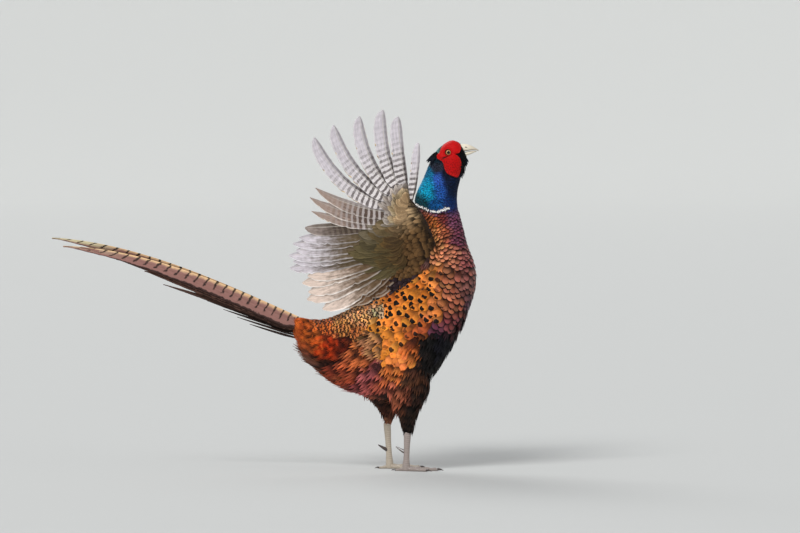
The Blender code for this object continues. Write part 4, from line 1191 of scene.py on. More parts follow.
@dataclass
class Tail:
    """The long graduated tail, nine pairs roofed over one another."""

    lengths: tuple = (399, 353, 298, 253, 221, 152, 126, 104, 84)
    widths: tuple = (27, 24, 21, 18, 11, 7, 5, 4, 4)
    shorter: float = 17.0
    ridge: tuple = (57.0, 226.6)
    rise: float = 24.5
    droop: float = 21.0
    fan: float = 0.9
    roof: float = 60.0
    inner: float = 0.42
    ridge_y: float = 1.0
    spread: float = 0.5
    stack: float = 1.15
    step_down: float = 1.5
    shorter_lower: float = 11.0
    columns: tuple = (0.0, 0.14, 0.3, 0.39, 0.42, 0.45, 0.6, 0.8, 1.0)
    rows: int = 64
    bar_steps: tuple = (12.0, 19.0, 15.0)  # between bars at the root and at the tip, and as the finish has it
    # For each two pairs: the buff of the upper edge, the bars and the mauve below.
    looks: tuple = (("E8C090", "100A08", "8E665E"), ("B08A74", "100A08", "7A584C"), ("7A5646", "14100E", "46322A"),
                    ("4C362C", "100C0A", "1E1613"))

    def colours(self, pair: int) -> dict[str, Array]:
        """The ground, mark and lower colours of a pair."""
        chosen = self.looks[min(pair // 2, len(self.looks) - 1)]
        return dict(zip(("ground", "mark", "tip"), map(linear, chosen)))

    def stretched(self, along: float) -> float:
        """Where along the middle feather a place falls, once its bars are spread evenly.

        Args:
            along: The place, in millimetres from the root.

        Returns:
            The place that the finish reads.
        """
        base, most, even = self.bar_steps
        slope = (most - base) / self.lengths[0]
        return even / slope * log(1 + slope * along / base)

    def vane(self, maker: MeshMaker, side: Side, pair: int, rng: Generator) -> None:
        """Adds one tail feather, its inner edge at the ridge and its outer edge hanging.

        Args:
            maker: What gathers the mesh.
            side: Its side.
            pair: Its pair, from the middle out.
            rng: The seeded source of chance.
        """
        short = side is Side.RIGHT and pair == 0
        shorter, lower = (self.shorter, self.shorter_lower) if short else (0.0, 0.0)
        length = self.lengths[pair] - shorter
        slant = radians(self.roof)
        out, down = cos(slant), sin(slant)
        x, z = self.ridge[0], self.ridge[1] - self.stack * pair / out - self.step_down * pair
        shares = np.linspace(0, 1, self.rows)
        last, rings, places = 0.0, [], []
        for share, ragged in zip(shares, 1 + 0.02 * rng.standard_normal(self.rows)):
            reach = length * (share + last) / 2 / self.lengths[0]
            slope = radians(self.rise - self.fan * pair - 1.4 * (pair > 3) - self.droop * reach**2.2)
            x -= cos(slope) * length * (share - last)
            z += sin(slope) * length * (share - last) - lower * (share**2 - last**2)
            last = share
            wide = self.widths[pair] * min(1.0, 0.4 + share * length / 50) * max(0.05, 1 - share**2.2) ** 0.8
            upper, under = [], []
            for c in self.columns:
                half = (0.55 if abs(c - self.inner) < 0.02 else 0.2) * (1 - 0.5 * share)
                across = wide * c * (ragged if c == 1.0 else 1.0)
                y, up = self.ridge_y + self.spread * pair + across * out, z - across * down
                upper.append((x, side.value * (y + half * down), up + half * out))
                under.append((x, side.value * (y - half * down), up - half * out))
            rings.append(upper + under)
            places += [(c, self.stretched(share * length), share) for c in self.columns] * 2
        count = len(self.columns)
        column = (pair * 2 + (side is Side.LEFT)) / (2 * len(self.lengths))
        strip = 0.92 / (4 * len(self.lengths))
        u = column + np.array(self.columns) * strip
        spot = np.stack([np.tile(np.concatenate([u, u + strip * 1.06]), self.rows),
                         np.repeat(0.01 + 0.98 * shares, 2 * count), np.zeros(self.rows * 2 * count)], 1)
        maker.add(np.array(rings).reshape(-1, 3), web_faces(self.rows, count), vane=np.array(places), patch=spot,
                  traits=((0.93 if short else 1.0) if pair == 0 else 0.6, 0.74, 0.85), **self.colours(pair))

    def make(self, finish: Material) -> Object:
        """Makes the whole tail as one piece in place of its node.

        Args:
            finish: Its material.

        Returns:
            The piece.
        """
        maker, rng = MeshMaker(), np.random.default_rng(8)
        for pair, side in product(range(len(self.lengths)), Side):
            self.vane(maker, side, pair, rng)
        return dress(vane_piece(maker, "tail_feathers"), finish, "tail", "tail")


@dataclass(frozen=True)
class VaneFinish(Finish):
    """Keratin webs of the large feathers: matt barbs, a paler glossy shaft, painted bars and painted shade on the front
    web.
    """

    every: float  # from one bar to the next, in millimetres
    slant: float  # how far a bar leans back from the shaft, in millimetres over the web
    duty: float = 0.45  # a bar's share of the distance from one to the next
    shaft: str = "DAD2C8"
    shaft_strength: float = 0.6
    shaft_at: float = 0.0
    wash_across: bool = False  # whether the third colour comes in across the web and not towards the tip
    soft: float = 0.2  # how far along the feather the third colour takes to come in
    rim: float = 0.6  # how strongly the edges take the rim's colour
    front_dark: float = 0.0  # how dark the narrow front web is
    streaks: float = 0.8
    roughness: float = 0.5
    relief: float = 0.3
    mottle: float = 160.0  # cloudy patches of 6 mm
    # Barbs 1.2 mm apart, about four times as coarse as real ones, so that they show.
    barbs: float = 5.2

    def wire(self, tree: NodeTree, add: partial) -> None:
        """Draws the bars, washes and shaft from each feather's own colours and places, and painted shade towards the
        front web.

        Args:
            tree: The material's tree.
            add: Adds a node to it.
        """
        across, along, share = add("SeparateXYZ", add("Attribute", attribute_name="vane", out="Vector"), out=None)
        traits = add("SeparateXYZ", add("Attribute", attribute_name="traits", out="Vector"), out=None)
        own = add("SeparateXYZ", add("Attribute", attribute_name="patch", out="Vector"))
        ground, mark, tip, rim = (add("Attribute", attribute_name=name, out="Color")
                                  for name in ("ground", "mark", "tip", "rim"))
        off = add("Math.SUBTRACT", across, self.shaft_at)
        wide = add("Math.ABSOLUTE", off)
        mottle = add("TexNoise", {"Vector": add("TexCoord", out="Object"), "Scale": self.mottle, "Detail": 4.0})
        rough = add("Math.SUBTRACT", mottle, 0.5)
        # Streaks run along each feather: barbs that lie together, different from feather to feather.
        long = add("CombineXYZ", *(add("Math.MULTIPLY", value, scale) for value, scale in (
            (across, 4.5), (along, 0.045), (own, 170.0))))
        streak = add("Math.SUBTRACT", add("TexNoise", {"Vector": long, "Scale": 1.6, "Detail": 3.0}), 0.5)
        step = add("Math.MULTIPLY_ADD", off, self.slant / self.every, add("Math.DIVIDE", along, self.every))
        step = add("Math.MULTIPLY_ADD", rough, 0.5, step)
        wave = add("Math.COSINE", add("Math.MULTIPLY", step, 2 * pi))
        edge = cos(pi * self.duty)
        bars = add("Math.MULTIPLY", add("MapRange", wave, edge - 0.25, edge + 0.2, **SMOOTH), traits[0])
        if self.wash_across:
            place = add("Math.MULTIPLY_ADD", rough, 0.3, across)
            wash = add("MapRange", place, -0.03, 0.3, **SMOOTH)
            bars = add("Math.MULTIPLY", bars, add("MapRange", place, traits[1], add("Math.SUBTRACT", traits[1], 0.15),
                                                  **SMOOTH))
            lower = add("Math.MULTIPLY", add("MapRange", place, 0.86, 0.93, **SMOOTH), traits[2])
            bars = add("Math.MAXIMUM", bars, lower)
        else:
            place = add("Math.MULTIPLY_ADD", rough, 0.25, add("Math.MULTIPLY_ADD", streak, 0.35, share))
            wash = add("MapRange", place, add("Math.SUBTRACT", traits[1], self.soft),
                       add("Math.ADD", traits[1], self.soft * 0.4), **SMOOTH)
            wash = add("Math.MULTIPLY", wash, traits[2])
            bars = add("Math.MULTIPLY", bars, add("Math.SUBTRACT", 1.0, wash))
        colour = add("Mix", {"Factor": wash, 6: ground, 7: tip}, **COLOUR)
        colour = add("Mix", {"Factor": bars, 6: colour, 7: mark}, **COLOUR)
        if self.front_dark:
            front = add("Math.MULTIPLY", add("MapRange", across, -0.04, -0.16, **SMOOTH),
                        add("Math.MULTIPLY_ADD", wash, -0.75, 1.0))
            front = add("Math.MULTIPLY", front, add("MapRange", traits[0], 0.2, 0.8, 0.25, self.front_dark))
            colour = add("Mix", {"Factor": front, 6: colour, 7: mark}, **COLOUR)
        if self.wash_across:
            # The middle pair's last quarter is pale cream.
            faded = add("Math.MULTIPLY", add("MapRange", share, 0.72, 0.88, **SMOOTH), add("Math.SUBTRACT", 1.0, bars))
            faded = add("Math.MULTIPLY", faded, add("MapRange", traits[0], 0.9, 1.0))
            faded = add("Math.MULTIPLY", faded, add("MapRange", across, 0.8, 0.45))
            colour = add("Mix", {"Factor": faded, 6: colour, 7: linear("D8CCA6")}, **COLOUR)
        else:
            rims = add("Math.MAXIMUM", add("MapRange", across, 0.84, 0.97, **SMOOTH),
                       add("MapRange", across, -0.3, -0.38, **SMOOTH))
            rims = add("Math.MULTIPLY", rims, add("Math.MULTIPLY_ADD", wash, self.rim * 0.7, self.rim * 0.3))
            colour = add("Mix", {"Factor": rims, 6: colour, 7: rim}, **COLOUR)
        quill = add("Math.MULTIPLY", add("MapRange", wide, 0.06, 0.02, **SMOOTH), self.shaft_strength)
        colour = add("Mix", {"Factor": quill, 6: colour, 7: linear(self.shaft)}, **COLOUR)
        barb = add("Math.SINE", add("Math.MULTIPLY_ADD", along, self.barbs, add("Math.MULTIPLY", wide, -46.0)))
        shade = add("Math.MULTIPLY_ADD", rough, 0.25, add("Math.MULTIPLY_ADD", barb, 0.04, 0.97))
        shade = add("Math.MULTIPLY_ADD", streak, self.streaks, shade)
        # Painted shade: the web darkens towards its front edge, where the next feather lies over it.
        if not self.wash_across:
            shade = add("Math.MULTIPLY", shade, add("MapRange", across, 0.15, -0.3, 1.0, 0.7, **SMOOTH))
        toned = add("HueSaturation", {"Value": shade, "Color": colour})
        finished(tree, toned, barb, self.relief, 0.0004, Roughness=self.roughness, Specular_IOR_Level=0.15)


@dataclass(frozen=True)
class TintFinish(Finish):
    """A surface whose colours the mesh holds, with a fine grain and relief over them."""

    grain: float  # in millimetres
    roughness: float = 0.5
    coat: float = 0.0
    relief: float = 0.3
    contrast: float = 0.25
    subsurface: float = 0.0
    specular: float = 0.25
    pimples: bool = False

    def wire(self, tree: NodeTree, add: partial) -> None:
        """Draws its colours and relief.

        Args:
            tree: The material's tree.
            add: Adds a node to it.
        """
        scale = {"Vector": add("TexCoord", out="Object"), "Scale": 1.0 / (self.grain * MM)}
        if self.pimples:
            height = add("MapRange", add("TexVoronoi", scale, out="Distance"), 0.12, 0.5)
        else:
            height = add("TexNoise", {**scale, "Detail": 4.0})
        # The colour's alpha says how strongly the grain darkens it.
        grain = add("Math.MULTIPLY", add("Attribute", attribute_name="ground", out="Alpha"), self.contrast)
        shade = add("Math.MULTIPLY_ADD", add("Math.SUBTRACT", height, 0.7), grain, 1.0)
        toned = add("HueSaturation", {"Value": shade, "Color": add("Attribute", attribute_name="ground", out="Color")})
        finished(tree, toned, height, self.relief, self.grain * MM * 0.3, Roughness=self.roughness,
                 Coat_Weight=self.coat, Subsurface_Weight=self.subsurface, Specular_IOR_Level=self.specular,
                 Subsurface_Radius=(0.002, 0.0006, 0.0004))


@dataclass
class Plumage:
    """The skin of the body, and the small feathers all over it."""

    trunk: Trunk
    thighs: tuple[Thigh, Thigh]
    wings: tuple[Wing, Wing]
    face: "Face"
    voxel: float = 2.4
    skin_nodes: tuple = ("rump", "torso", "neck", "head", "thigh_right", "thigh_left")
    most_faces: int = 150000
    tries: int = 90000
    fall: float = 2.2  # how soon one region gives way to the next
    closest: float = 0.82  # how near two roots may be, by the spacing
    cell: float = 2.4
    ring_step: float = 1.1
    collar: Collar = field(default_factory=Collar)
    # For each shape: how far its tips rise, how loose they hang, how uneven their lengths are and its triangles.
    lies: dict[Kind, tuple] = field(default_factory=lambda: {
        SILK: (0.9, 0.0, 0.08, 22), SCALE: (2.4, 0.0, 0.08, 58),
        HAIR: (3.6, 0.35, 0.45, 110), SHAG: (5.6, 0.5, 0.28, 66),
    })

    def weights(self, points: Array) -> Array:
        """How much of each region's look is at points.

        Args:
            points: The points.

        Returns:
            A row for each point, which adds up to 1.
        """
        x, z, reach = (self.traits(name) for name in ("x", "z", "reach"))
        off = ((points[:, :1] - x) ** 2 + (points[:, 2:] - z) ** 2) / reach**2
        found = np.exp(-(off - off.min(axis=1, keepdims=True)) * self.fall)
        return found / found.sum(axis=1, keepdims=True)

    @staticmethod
    def traits(name: str) -> Array:
        """One trait of every region."""
        return np.array([getattr(region, name) for region in REGIONS])

    @staticmethod
    def tones(name: str) -> Array:
        """One colour of every region, in linear light."""
        return np.array([linear(getattr(region, name)) for region in REGIONS])

    def skin(self, finish: Material) -> Object:
        """Makes one skin of the trunk, the legs and the wings' flesh, in place of their nodes.

        Args:
            finish: Its material.

        Returns:
            The piece.
        """
        maker = MeshMaker()
        maker.loft([self.trunk.ring(p, 72, True) for p in np.linspace(0, self.trunk.last, 105)])
        for thigh in self.thighs:
            maker.loft(thigh.rings(32))
        for wing in self.wings:
            maker.loft(wing.flesh_rings(28))
        piece = maker.make("skin")
        step = piece.modifiers.new("join", "REMESH")
        step.mode, step.voxel_size = "VOXEL", self.voxel * MM
        step = piece.modifiers.new("even", "SMOOTH")
        step.factor, step.iterations = 0.5, 4
        flatten(piece)
        piece.data.shade_smooth()
        points = pulled(piece.data.vertices, "co", 3) / MM
        # The skin shows only in the gaps between the feathers, so it is painted darker than they are, as shade; over
        # the wings' flesh it is painted dark brown, as shade under the coverts.
        ground = self.weights(points) @ (self.tones("ground") * 0.6 + self.tones("mark") * 0.4)
        shaded = (self.trunk.find(points)[3] > 4) & (points[:, 2] > 255)
        ground[shaded, :3] = linear("2A1C14")[:3]
        store(piece.data, "ground", ground)
        bake_map(piece, self.patches(points)[:, :2])
        return dress(piece, finish, "plumage", *self.skin_nodes)

    def patches(self, points: Array) -> Array:
        """Where points are on the unwrap: the trunk rolled flat, and each leg beside it.

        Args:
            points: The points.

        Returns:
            Their u and v, and 0.
        """
        place, turn, _, _ = self.trunk.find(points)
        turn = np.where(points[:, 1] < 0, 360 - turn, turn)
        trunk = np.stack([0.02 + 0.6 * turn / 360, 0.02 + 0.96 * place / self.trunk.last, 0 * turn], 1)
        left = points[:, 1] > 0
        centre = np.where(left, 182.0, 210.0)
        round_ = np.arctan2(np.abs(points[:, 1]) - 31, points[:, 0] - centre) / (2 * pi) + 0.5
        leg = np.stack([0.66 + 0.16 * left + 0.14 * round_, 0.02 + 0.9 * points[:, 2] / 200, 0 * turn], 1)
        return np.where((points[:, 2] < 104)[:, None], leg, trunk)

    def scatter(self, skin: Object, rng: Generator) -> tuple[Array, ...]:
        """Finds roots all over the skin, as close as each region's feathers stand.

        Args:
            skin: The skin.
            rng: The seeded source of chance.

        Returns:
            The roots, the skin's normals there, the regions' weights and the spacing.
        """
        mesh = skin.data
        mesh.calc_loop_triangles()
        ends = pulled(mesh.loop_triangles, "vertices", 3, np.int32)
        places, normals = (pulled(mesh.vertices, key, 3)[ends].astype(float) for key in ("co", "normal"))
        places = places / MM
        middle = places.mean(axis=1)
        area = np.linalg.norm(np.cross(places[:, 1] - places[:, 0], places[:, 2] - places[:, 0]), axis=1) / 2
        spacing = self.weights(middle) @ self.traits("spacing")
        off = self.trunk.find(middle)[3]
        bare = (off > 12) & (middle[:, 2] > 215)
        bare |= (np.abs(middle[:, 1]) > 56) & (middle[:, 2] > 262)
        share = np.where(bare, 0.0, area / spacing**2)
        chosen = rng.choice(len(share), self.tries, p=share / share.sum())
        mix = rng.dirichlet((1, 1, 1), self.tries)
        points = np.einsum("nk,nkd->nd", mix, places[chosen])
        facing = unit(np.einsum("nk,nkd->nd", mix, normals[chosen]))
        weights = self.weights(points)
        gap = weights @ self.traits("spacing") * (1 - 0.12 * rng.random(self.tries))
        kept, cells = [], {}
        keys = np.floor(points / self.cell).astype(int).tolist()
        for k in np.flatnonzero(~self.face.covers(points)):
            least = gap[k] * self.closest
            reach = ceil(least / self.cell)
            near = product(*(range(c - reach, c + reach + 1) for c in keys[k]))
            if all(((points[o] - points[k]) ** 2).sum() > least**2 for n in near for o in cells.get(n, ())):
                kept.append(k)
                cells.setdefault(tuple(keys[k]), []).append(k)
        return points[kept], facing[kept], weights[kept], gap[kept]

    def roots(self, skin: Object, rng: Generator) -> dict[Kind, dict[str, Array]]:
        """Works out everything that the coat needs to know of each feather.

        Args:
            skin: The skin.
            rng: The seeded source of chance.

        Returns:
            By shape and by attribute name, a row for each feather.
        """
        points, normals, weights, gap = self.scatter(skin, rng)
        count = len(points)
        spot, fringe, waves, length, width, droop, free = (weights @ self.traits(name) for name in (
            "spot", "fringe", "waves", "length", "width", "droop", "free"))
        ground, mark = weights @ self.tones("ground"), weights @ self.tones("mark")
        kinds = np.array([REGIONS[k].kind.value for k in weights.argmax(axis=1)])
        droop = droop[:, None]
        lie = (1 - droop) * self.trunk.find(points)[2] + droop * np.array([-0.25, 0.0, -1.0])
        lie = lie + 0.07 * rng.standard_normal((count, 3))
        lie = unit(lie - normals * (lie * normals).sum(axis=1, keepdims=True))
        ground[:, :3] *= (1 + 0.2 * rng.standard_normal(count))[:, None].clip(0.5, 1.6)
        ground[:, :3] *= (1 + 0.06 * rng.standard_normal((count, 3))).clip(0.85, 1.15)
        length, half = gap * length, gap * width
        traits = np.stack([spot, fringe, waves], 1)
        traits *= 1 - np.array([0.5, 0.1, 0.1]) * rng.random((count, 3))
        rows = {"root": points * MM, "normal": normals, "lie": lie, "ground": ground, "mark": mark, "traits": traits,
                "patch": self.patches(points)}
        found = {}
        for kind, (tall, loose, uneven, _) in self.lies.items():
            here = kinds == kind.value
            rise = tall * (0.75 + 0.5 * rng.random(here.sum())) * MM
            most = gap[here] * MM * (0.6 + 1.6 * free[here])
            ragged = 1 + uneven * rng.standard_normal(here.sum()).clip(-2, 2)
            size = np.stack([length[here] * ragged * MM, half[here] * MM, np.minimum(rise, most)], 1)
            freed = np.zeros((here.sum(), 3))
            freed[:, 0] = np.maximum(loose * rng.random(here.sum()), free[here])
            found[kind] = {**{name: values[here] for name, values in rows.items()}, "size": size, "loose": freed}
        return found

    def ring_feathers(self, rng: Generator, bvh: BVHTree) -> dict[str, Array]:
        """The ragged row of white feathers along the collar.

        Args:
            rng: The seeded source of chance.
            bvh: The skin.

        Returns:
            By attribute name, a row for each feather.
        """
        found = []
        for side, turn in product(Side, np.arange(1.0, self.collar.open_from, self.ring_step)):
            if turn > 50 and rng.random() < 0.1:
                continue
            middle = self.collar.middle(turn) + 0.016 * rng.standard_normal() + 0.025
            point = self.trunk.ring(middle, 720)[int(round(turn * 2)) % 720] * (1, side.value, 1)
            spot, normal, _, _ = bvh.find_nearest(Vector(point * MM))
            normal = np.array(normal)
            lie = self.trunk.find([point])[2][0] + 0.12 * rng.standard_normal(3)
            found.append({
                "root": np.array(spot), "normal": normal, "lie": unit(lie - normal * (lie @ normal)),
                "size": (0.0026 + 0.0024 * rng.random(), 0.0009, 0.0024), "loose": (0, 0, 0), "traits": (0, 0, 0),
                "ground": linear("FAF8F4"), "mark": linear("C8C4BC"),
                "patch": (0.02 + turn / 700, 0.5 + 0.1 * side.value, 0),
            })
        return by_name(found)

    def make(self, finishes: dict[str, Material]) -> None:
        """Makes the skin and every piece of the coat.

        Args:
            finishes: The materials, by name.
        """
        skin, rng, coat = self.skin(finishes["skin"]), np.random.default_rng(3), Coat()
        for kind, roots in self.roots(skin, rng).items():
            finish = finishes[kind.value]
            parts = max(1, ceil(len(roots["root"]) * self.lies[kind][3] / self.most_faces))
            order = np.argsort(roots["root"][:, 0])
            for k, part in enumerate(np.array_split(order, parts)):
                rows = {name: values[part] for name, values in roots.items()}
                piece = coat.lay(f"coat_{kind.value}_{k}", kind, rows, skin, finish)
                dress(piece, finish, "blue_neck" if kind is SILK else "plumage")
        ring = self.ring_feathers(rng, BVHTree.FromObject(skin, bpy.context.evaluated_depsgraph_get()))
        dress(coat.lay("collar_feathers", SILK, ring, skin, finishes["silk"]), finishes["silk"], "plumage")
        for wing in self.wings:
            piece = coat.lay(f"wing_{wing.side.label}_lesser", SCALE, wing.lesser(rng), skin, finishes["scale"])
            dress(piece, finishes["scale"], "flight")


@dataclass
class Face:
    """The bare red skin round each eye, the eye and its lids."""

    trunk: Trunk
    centre: tuple = (273.7, 476.6)
    # By direction in degrees from straight ahead, upwards: how far the bare skin reaches.
    reaches: tuple = (
        (0, 17.6), (6, 18.1), (14, 20.2), (32, 22), (53, 22.8), (71, 21.6), (82, 19.5), (96, 16.2), (124, 12.8),
        (152, 12), (182, 12.8), (190, 16.2), (197, 17.8), (209, 18.9), (220, 17), (234, 16.1), (248, 18.3),
        (258, 25.2), (267, 31.3), (280, 36.1), (291, 40.6), (303, 34.5), (318, 27.1), (333, 20.3), (343, 14.5),
        (348, 10.5), (353, 13.5), (360, 17.6),
    )
    least_y: float = 4.5
    bulge: float = 2.6
    lid_rise: float = 1.2
    edge: float = 0.15
    sunk: float = 2.0
    lid_hole: float = 4.2
    eye_radius: float = 5.0
    eye_sink: float = 1.7
    turns: int = 144
    steps: int = 40
    # The skin, its edge, its depths, the lids' rim and the feathers in the fold.
    colours: tuple = ("AE0406", "B81C18", "520304", "3A0606", "08080A")

    def __post_init__(self) -> None:
        """Makes the surface that the face lies on."""
        maker = MeshMaker()
        maker.loft(self.trunk.grid, Ends.OPEN)
        self.surface = BVHTree.FromPolygons([Vector(p) for p in maker.points[0]], maker.faces)

    def half_width(self, x: float, z: float) -> float | None:
        """How far out the trunk's surface is at a place seen from the side."""
        hit = self.surface.ray_cast(Vector((x, 200, z)), Vector((0, -1, 0)))[0]
        return None if hit is None else abs(hit.y)

    def above(self, side: Side, x: float, z: float, rise: float) -> tuple[float, float, float]:
        """The point over a place on the head.

        Args:
            side: The side of the head.
            x: The place's x.
            z: The place's z.
            rise: How far the point stands off the surface.

        Returns:
            The point.
        """
        hit, normal, _, _ = self.surface.ray_cast(Vector((x, 200, z)), Vector((0, -1, 0)))
        if normal.y < 0:
            normal = -normal
        point = hit + (normal + Vector((0, 0.8, 0))).normalized() * rise
        return point.x, side.value * point.y, point.z

    def reach(self, turn: float) -> float:
        """How far the bare skin goes in a direction, kept where the surface is broad enough.

        Args:
            turn: The direction, in degrees.

        Returns:
            The distance from the eye's centre.
        """
        far = float(np.interp(turn, *np.array(self.reaches, float).T))
        a = radians(turn)
        found = None
        while found is None or found < self.least_y:
            far -= 0.25
            found = self.half_width(self.centre[0] + cos(a) * far, self.centre[1] + sin(a) * far)
        return far

    def covers(self, points: Array) -> Array:
        """Finds which points the bare skin covers.

        Args:
            points: The points.

        Returns:
            Whether each one is covered.
        """
        x, z = points[:, 0] - self.centre[0], points[:, 2] - self.centre[1]
        turn = np.degrees(np.arctan2(z, x)) % 360
        turns = np.arange(0, 360, 5.0)
        far = np.interp(turn, turns, [self.reach(t) for t in turns], period=360)
        return (np.hypot(x, z) < far - 0.8) & (np.abs(points[:, 1]) > 5)

    def look(self, x: float, z: float, out: float, share: float) -> tuple[float, Array]:
        """The bare skin's height and colour at a place.

        Args:
            x: The place's x.
            z: The place's z.
            out: How far it is from the eye's centre.
            share: How far it is from the lids to the skin's edge, from 0 to 1.

        Returns:
            How far it stands off the head, and its colour, with its graininess as alpha.
        """
        red, pink, deep, lid, black = (linear(colour) for colour in self.colours)
        rise = self.lid_rise + (self.bulge - self.lid_rise) * sin(pi * min(1.0, share * 1.12)) ** 0.7
        rise += 0.7 * exp(-(((out - self.lid_hole - 0.9) / 0.7) ** 2))
        rise -= 0.5 * exp(-(((out - self.lid_hole - 2.3) / 0.7) ** 2))
        # Warts 2 mm apart, about twice as coarse as real ones, so that they show.
        grain = sin(x * 3.1 + sin(z * 2.7)) * sin(z * 3.3 + sin(x * 2.3) * 1.3)
        lobe = min(1.0, max(0.0, (self.centre[1] - 5 - z) / 10))
        # A slit of black feathers lies below the eye, where the skin folds.
        along = x - self.centre[0] + 4.2
        off = z - self.centre[1] + 7.4 - 0.42 * along
        slit = exp(-((along / 4.6) ** 4) - (off / (1.25 - 0.12 * along)) ** 2)
        rise += 0.2 * grain * (0.4 + lobe) * min(1.0, share * 5) - slit
        tint = red * (1 - share**8) + pink * share**8
        tint = tint * (1 - 0.3 * lobe) + deep * 0.3 * lobe
        rim = exp(-(((out - self.lid_hole) / 0.7) ** 2))
        tint = tint * (1 - 0.6 * rim) + lid * 0.6 * rim
        tint = tint * (1 - slit) + black * slit
        return (self.edge if share == 1.0 else rise), np.append(tint[:3], 0.4 + 0.6 * lobe)

    def plate(self, side: Side, finish: Material) -> Object:
        """Makes one side's bare skin, with its warty grain and the rim of the lids.

        Args:
            side: The side of the head.
            finish: Its material.

        Returns:
            The piece.
        """
        maker, points, colours = MeshMaker(), [], []
        front = np.arange(self.steps + 1) / self.steps
        for turn in np.arange(self.turns) * 360 / self.turns:
            a, far = radians(turn), self.reach(turn)
            for step, share in enumerate([*front, 1.0, 0.0]):
                out = self.lid_hole + (far - self.lid_hole) * share
                x, z = self.centre[0] + cos(a) * out, self.centre[1] + sin(a) * out
                if step <= self.steps:
                    rise, tint = self.look(x, z, out, share)
                    points.append(self.above(side, x, z, rise))
                else:
                    tint = linear(self.colours[2])
                    points.append((x, side.value * (self.half_width(x, z) - self.sunk), z))
                colours.append(tint)
        rings = np.array(points).reshape(self.turns, -1, 3)
        maker.loft(rings, Ends.JOINED, ground=np.array(colours))
        piece = maker.make(f"face_{side.label}", sharp=60.0)
        out = 0.1 + 0.9 * np.linspace(0, 1, rings.shape[1])
        angles = angles_round(self.turns)[:, None]
        bake_map(piece, 0.5 + 0.48 * np.stack([np.cos(angles) * out, np.sin(angles) * out], -1).reshape(-1, 2))
        return dress(piece, finish, "red_face", f"wattle_{side.label}")

    def eye(self, side: Side, finish: Material) -> Object:
        """Makes one eye, with its own place for the pupil, the iris and the rim.

        Args:
            side: The side of the head.
            finish: Its material.

        Returns:
            The piece.
        """
        maker = MeshMaker()
        out = self.half_width(*self.centre) - self.eye_sink
        centre = np.array([self.centre[0], side.value * out, self.centre[1]])
        look = unit(np.array([0.12, side.value, 0.02]))
        across = unit(np.cross(look, (0, 0, 1)))
        up = np.cross(across, look)
        round_ = angles_round(48)[:, None]
        rings, radial = [], []
        for a in np.linspace(0.0, pi, 44)[1:-1]:
            ring = np.cos(round_) * across + np.sin(round_) * up
            rings.append(centre + self.eye_radius * (cos(a) * look + sin(a) * ring))
            flat = self.eye_radius * sin(a) if a < pi / 2 else 2 * self.eye_radius
            radial += [(flat,)] * len(round_)
        maker.loft(rings, radial=np.array(radial))
        piece = maker.make(f"eyeball_{side.label}")
        places = pulled(piece.data.vertices, "co", 3)[:, [0, 2]] / MM
        bake_map(piece, 0.5 + 0.4 * (places - np.array(self.centre)) / self.eye_radius)
        return dress(piece, finish, "eye", f"eye_{side.label}")


@dataclass(frozen=True)
class EyeFinish(Finish):
    """A wet cornea over a black pupil, a tan iris mottled by 1 mm and a dark rim."""

    name: str = "wet_eye"
    pupil: float = 2.4
    rim: float = 3.8

    def wire(self, tree: NodeTree, add: partial) -> None:
        """Draws its colours and relief.

        Args:
            tree: The material's tree.
            add: Adds a node to it.
        """
        radial = add("Attribute", attribute_name="radial", out="Fac")
        mottle = add("TexNoise", {"Vector": add("TexCoord", out="Object"), "Scale": 900.0})
        colour = add("Mix", {"Factor": mottle, 6: linear("A87040"), 7: linear("C08E5C")}, **COLOUR)
        rings = ((self.pupil + 0.12, self.pupil - 0.12, "050505"), (self.rim - 0.3, self.rim, "1C0A08"))
        for low, high, inside in rings:
            factor = add("MapRange", radial, low, high)
            colour = add("Mix", {"Factor": factor, 6: colour, 7: linear(inside)}, **COLOUR)
        finished(tree, colour, mottle, 0.0, 0.0001, Roughness=0.15, Coat_Weight=0.35,
                 Coat_Roughness=0.04, Specular_IOR_Level=0.2)


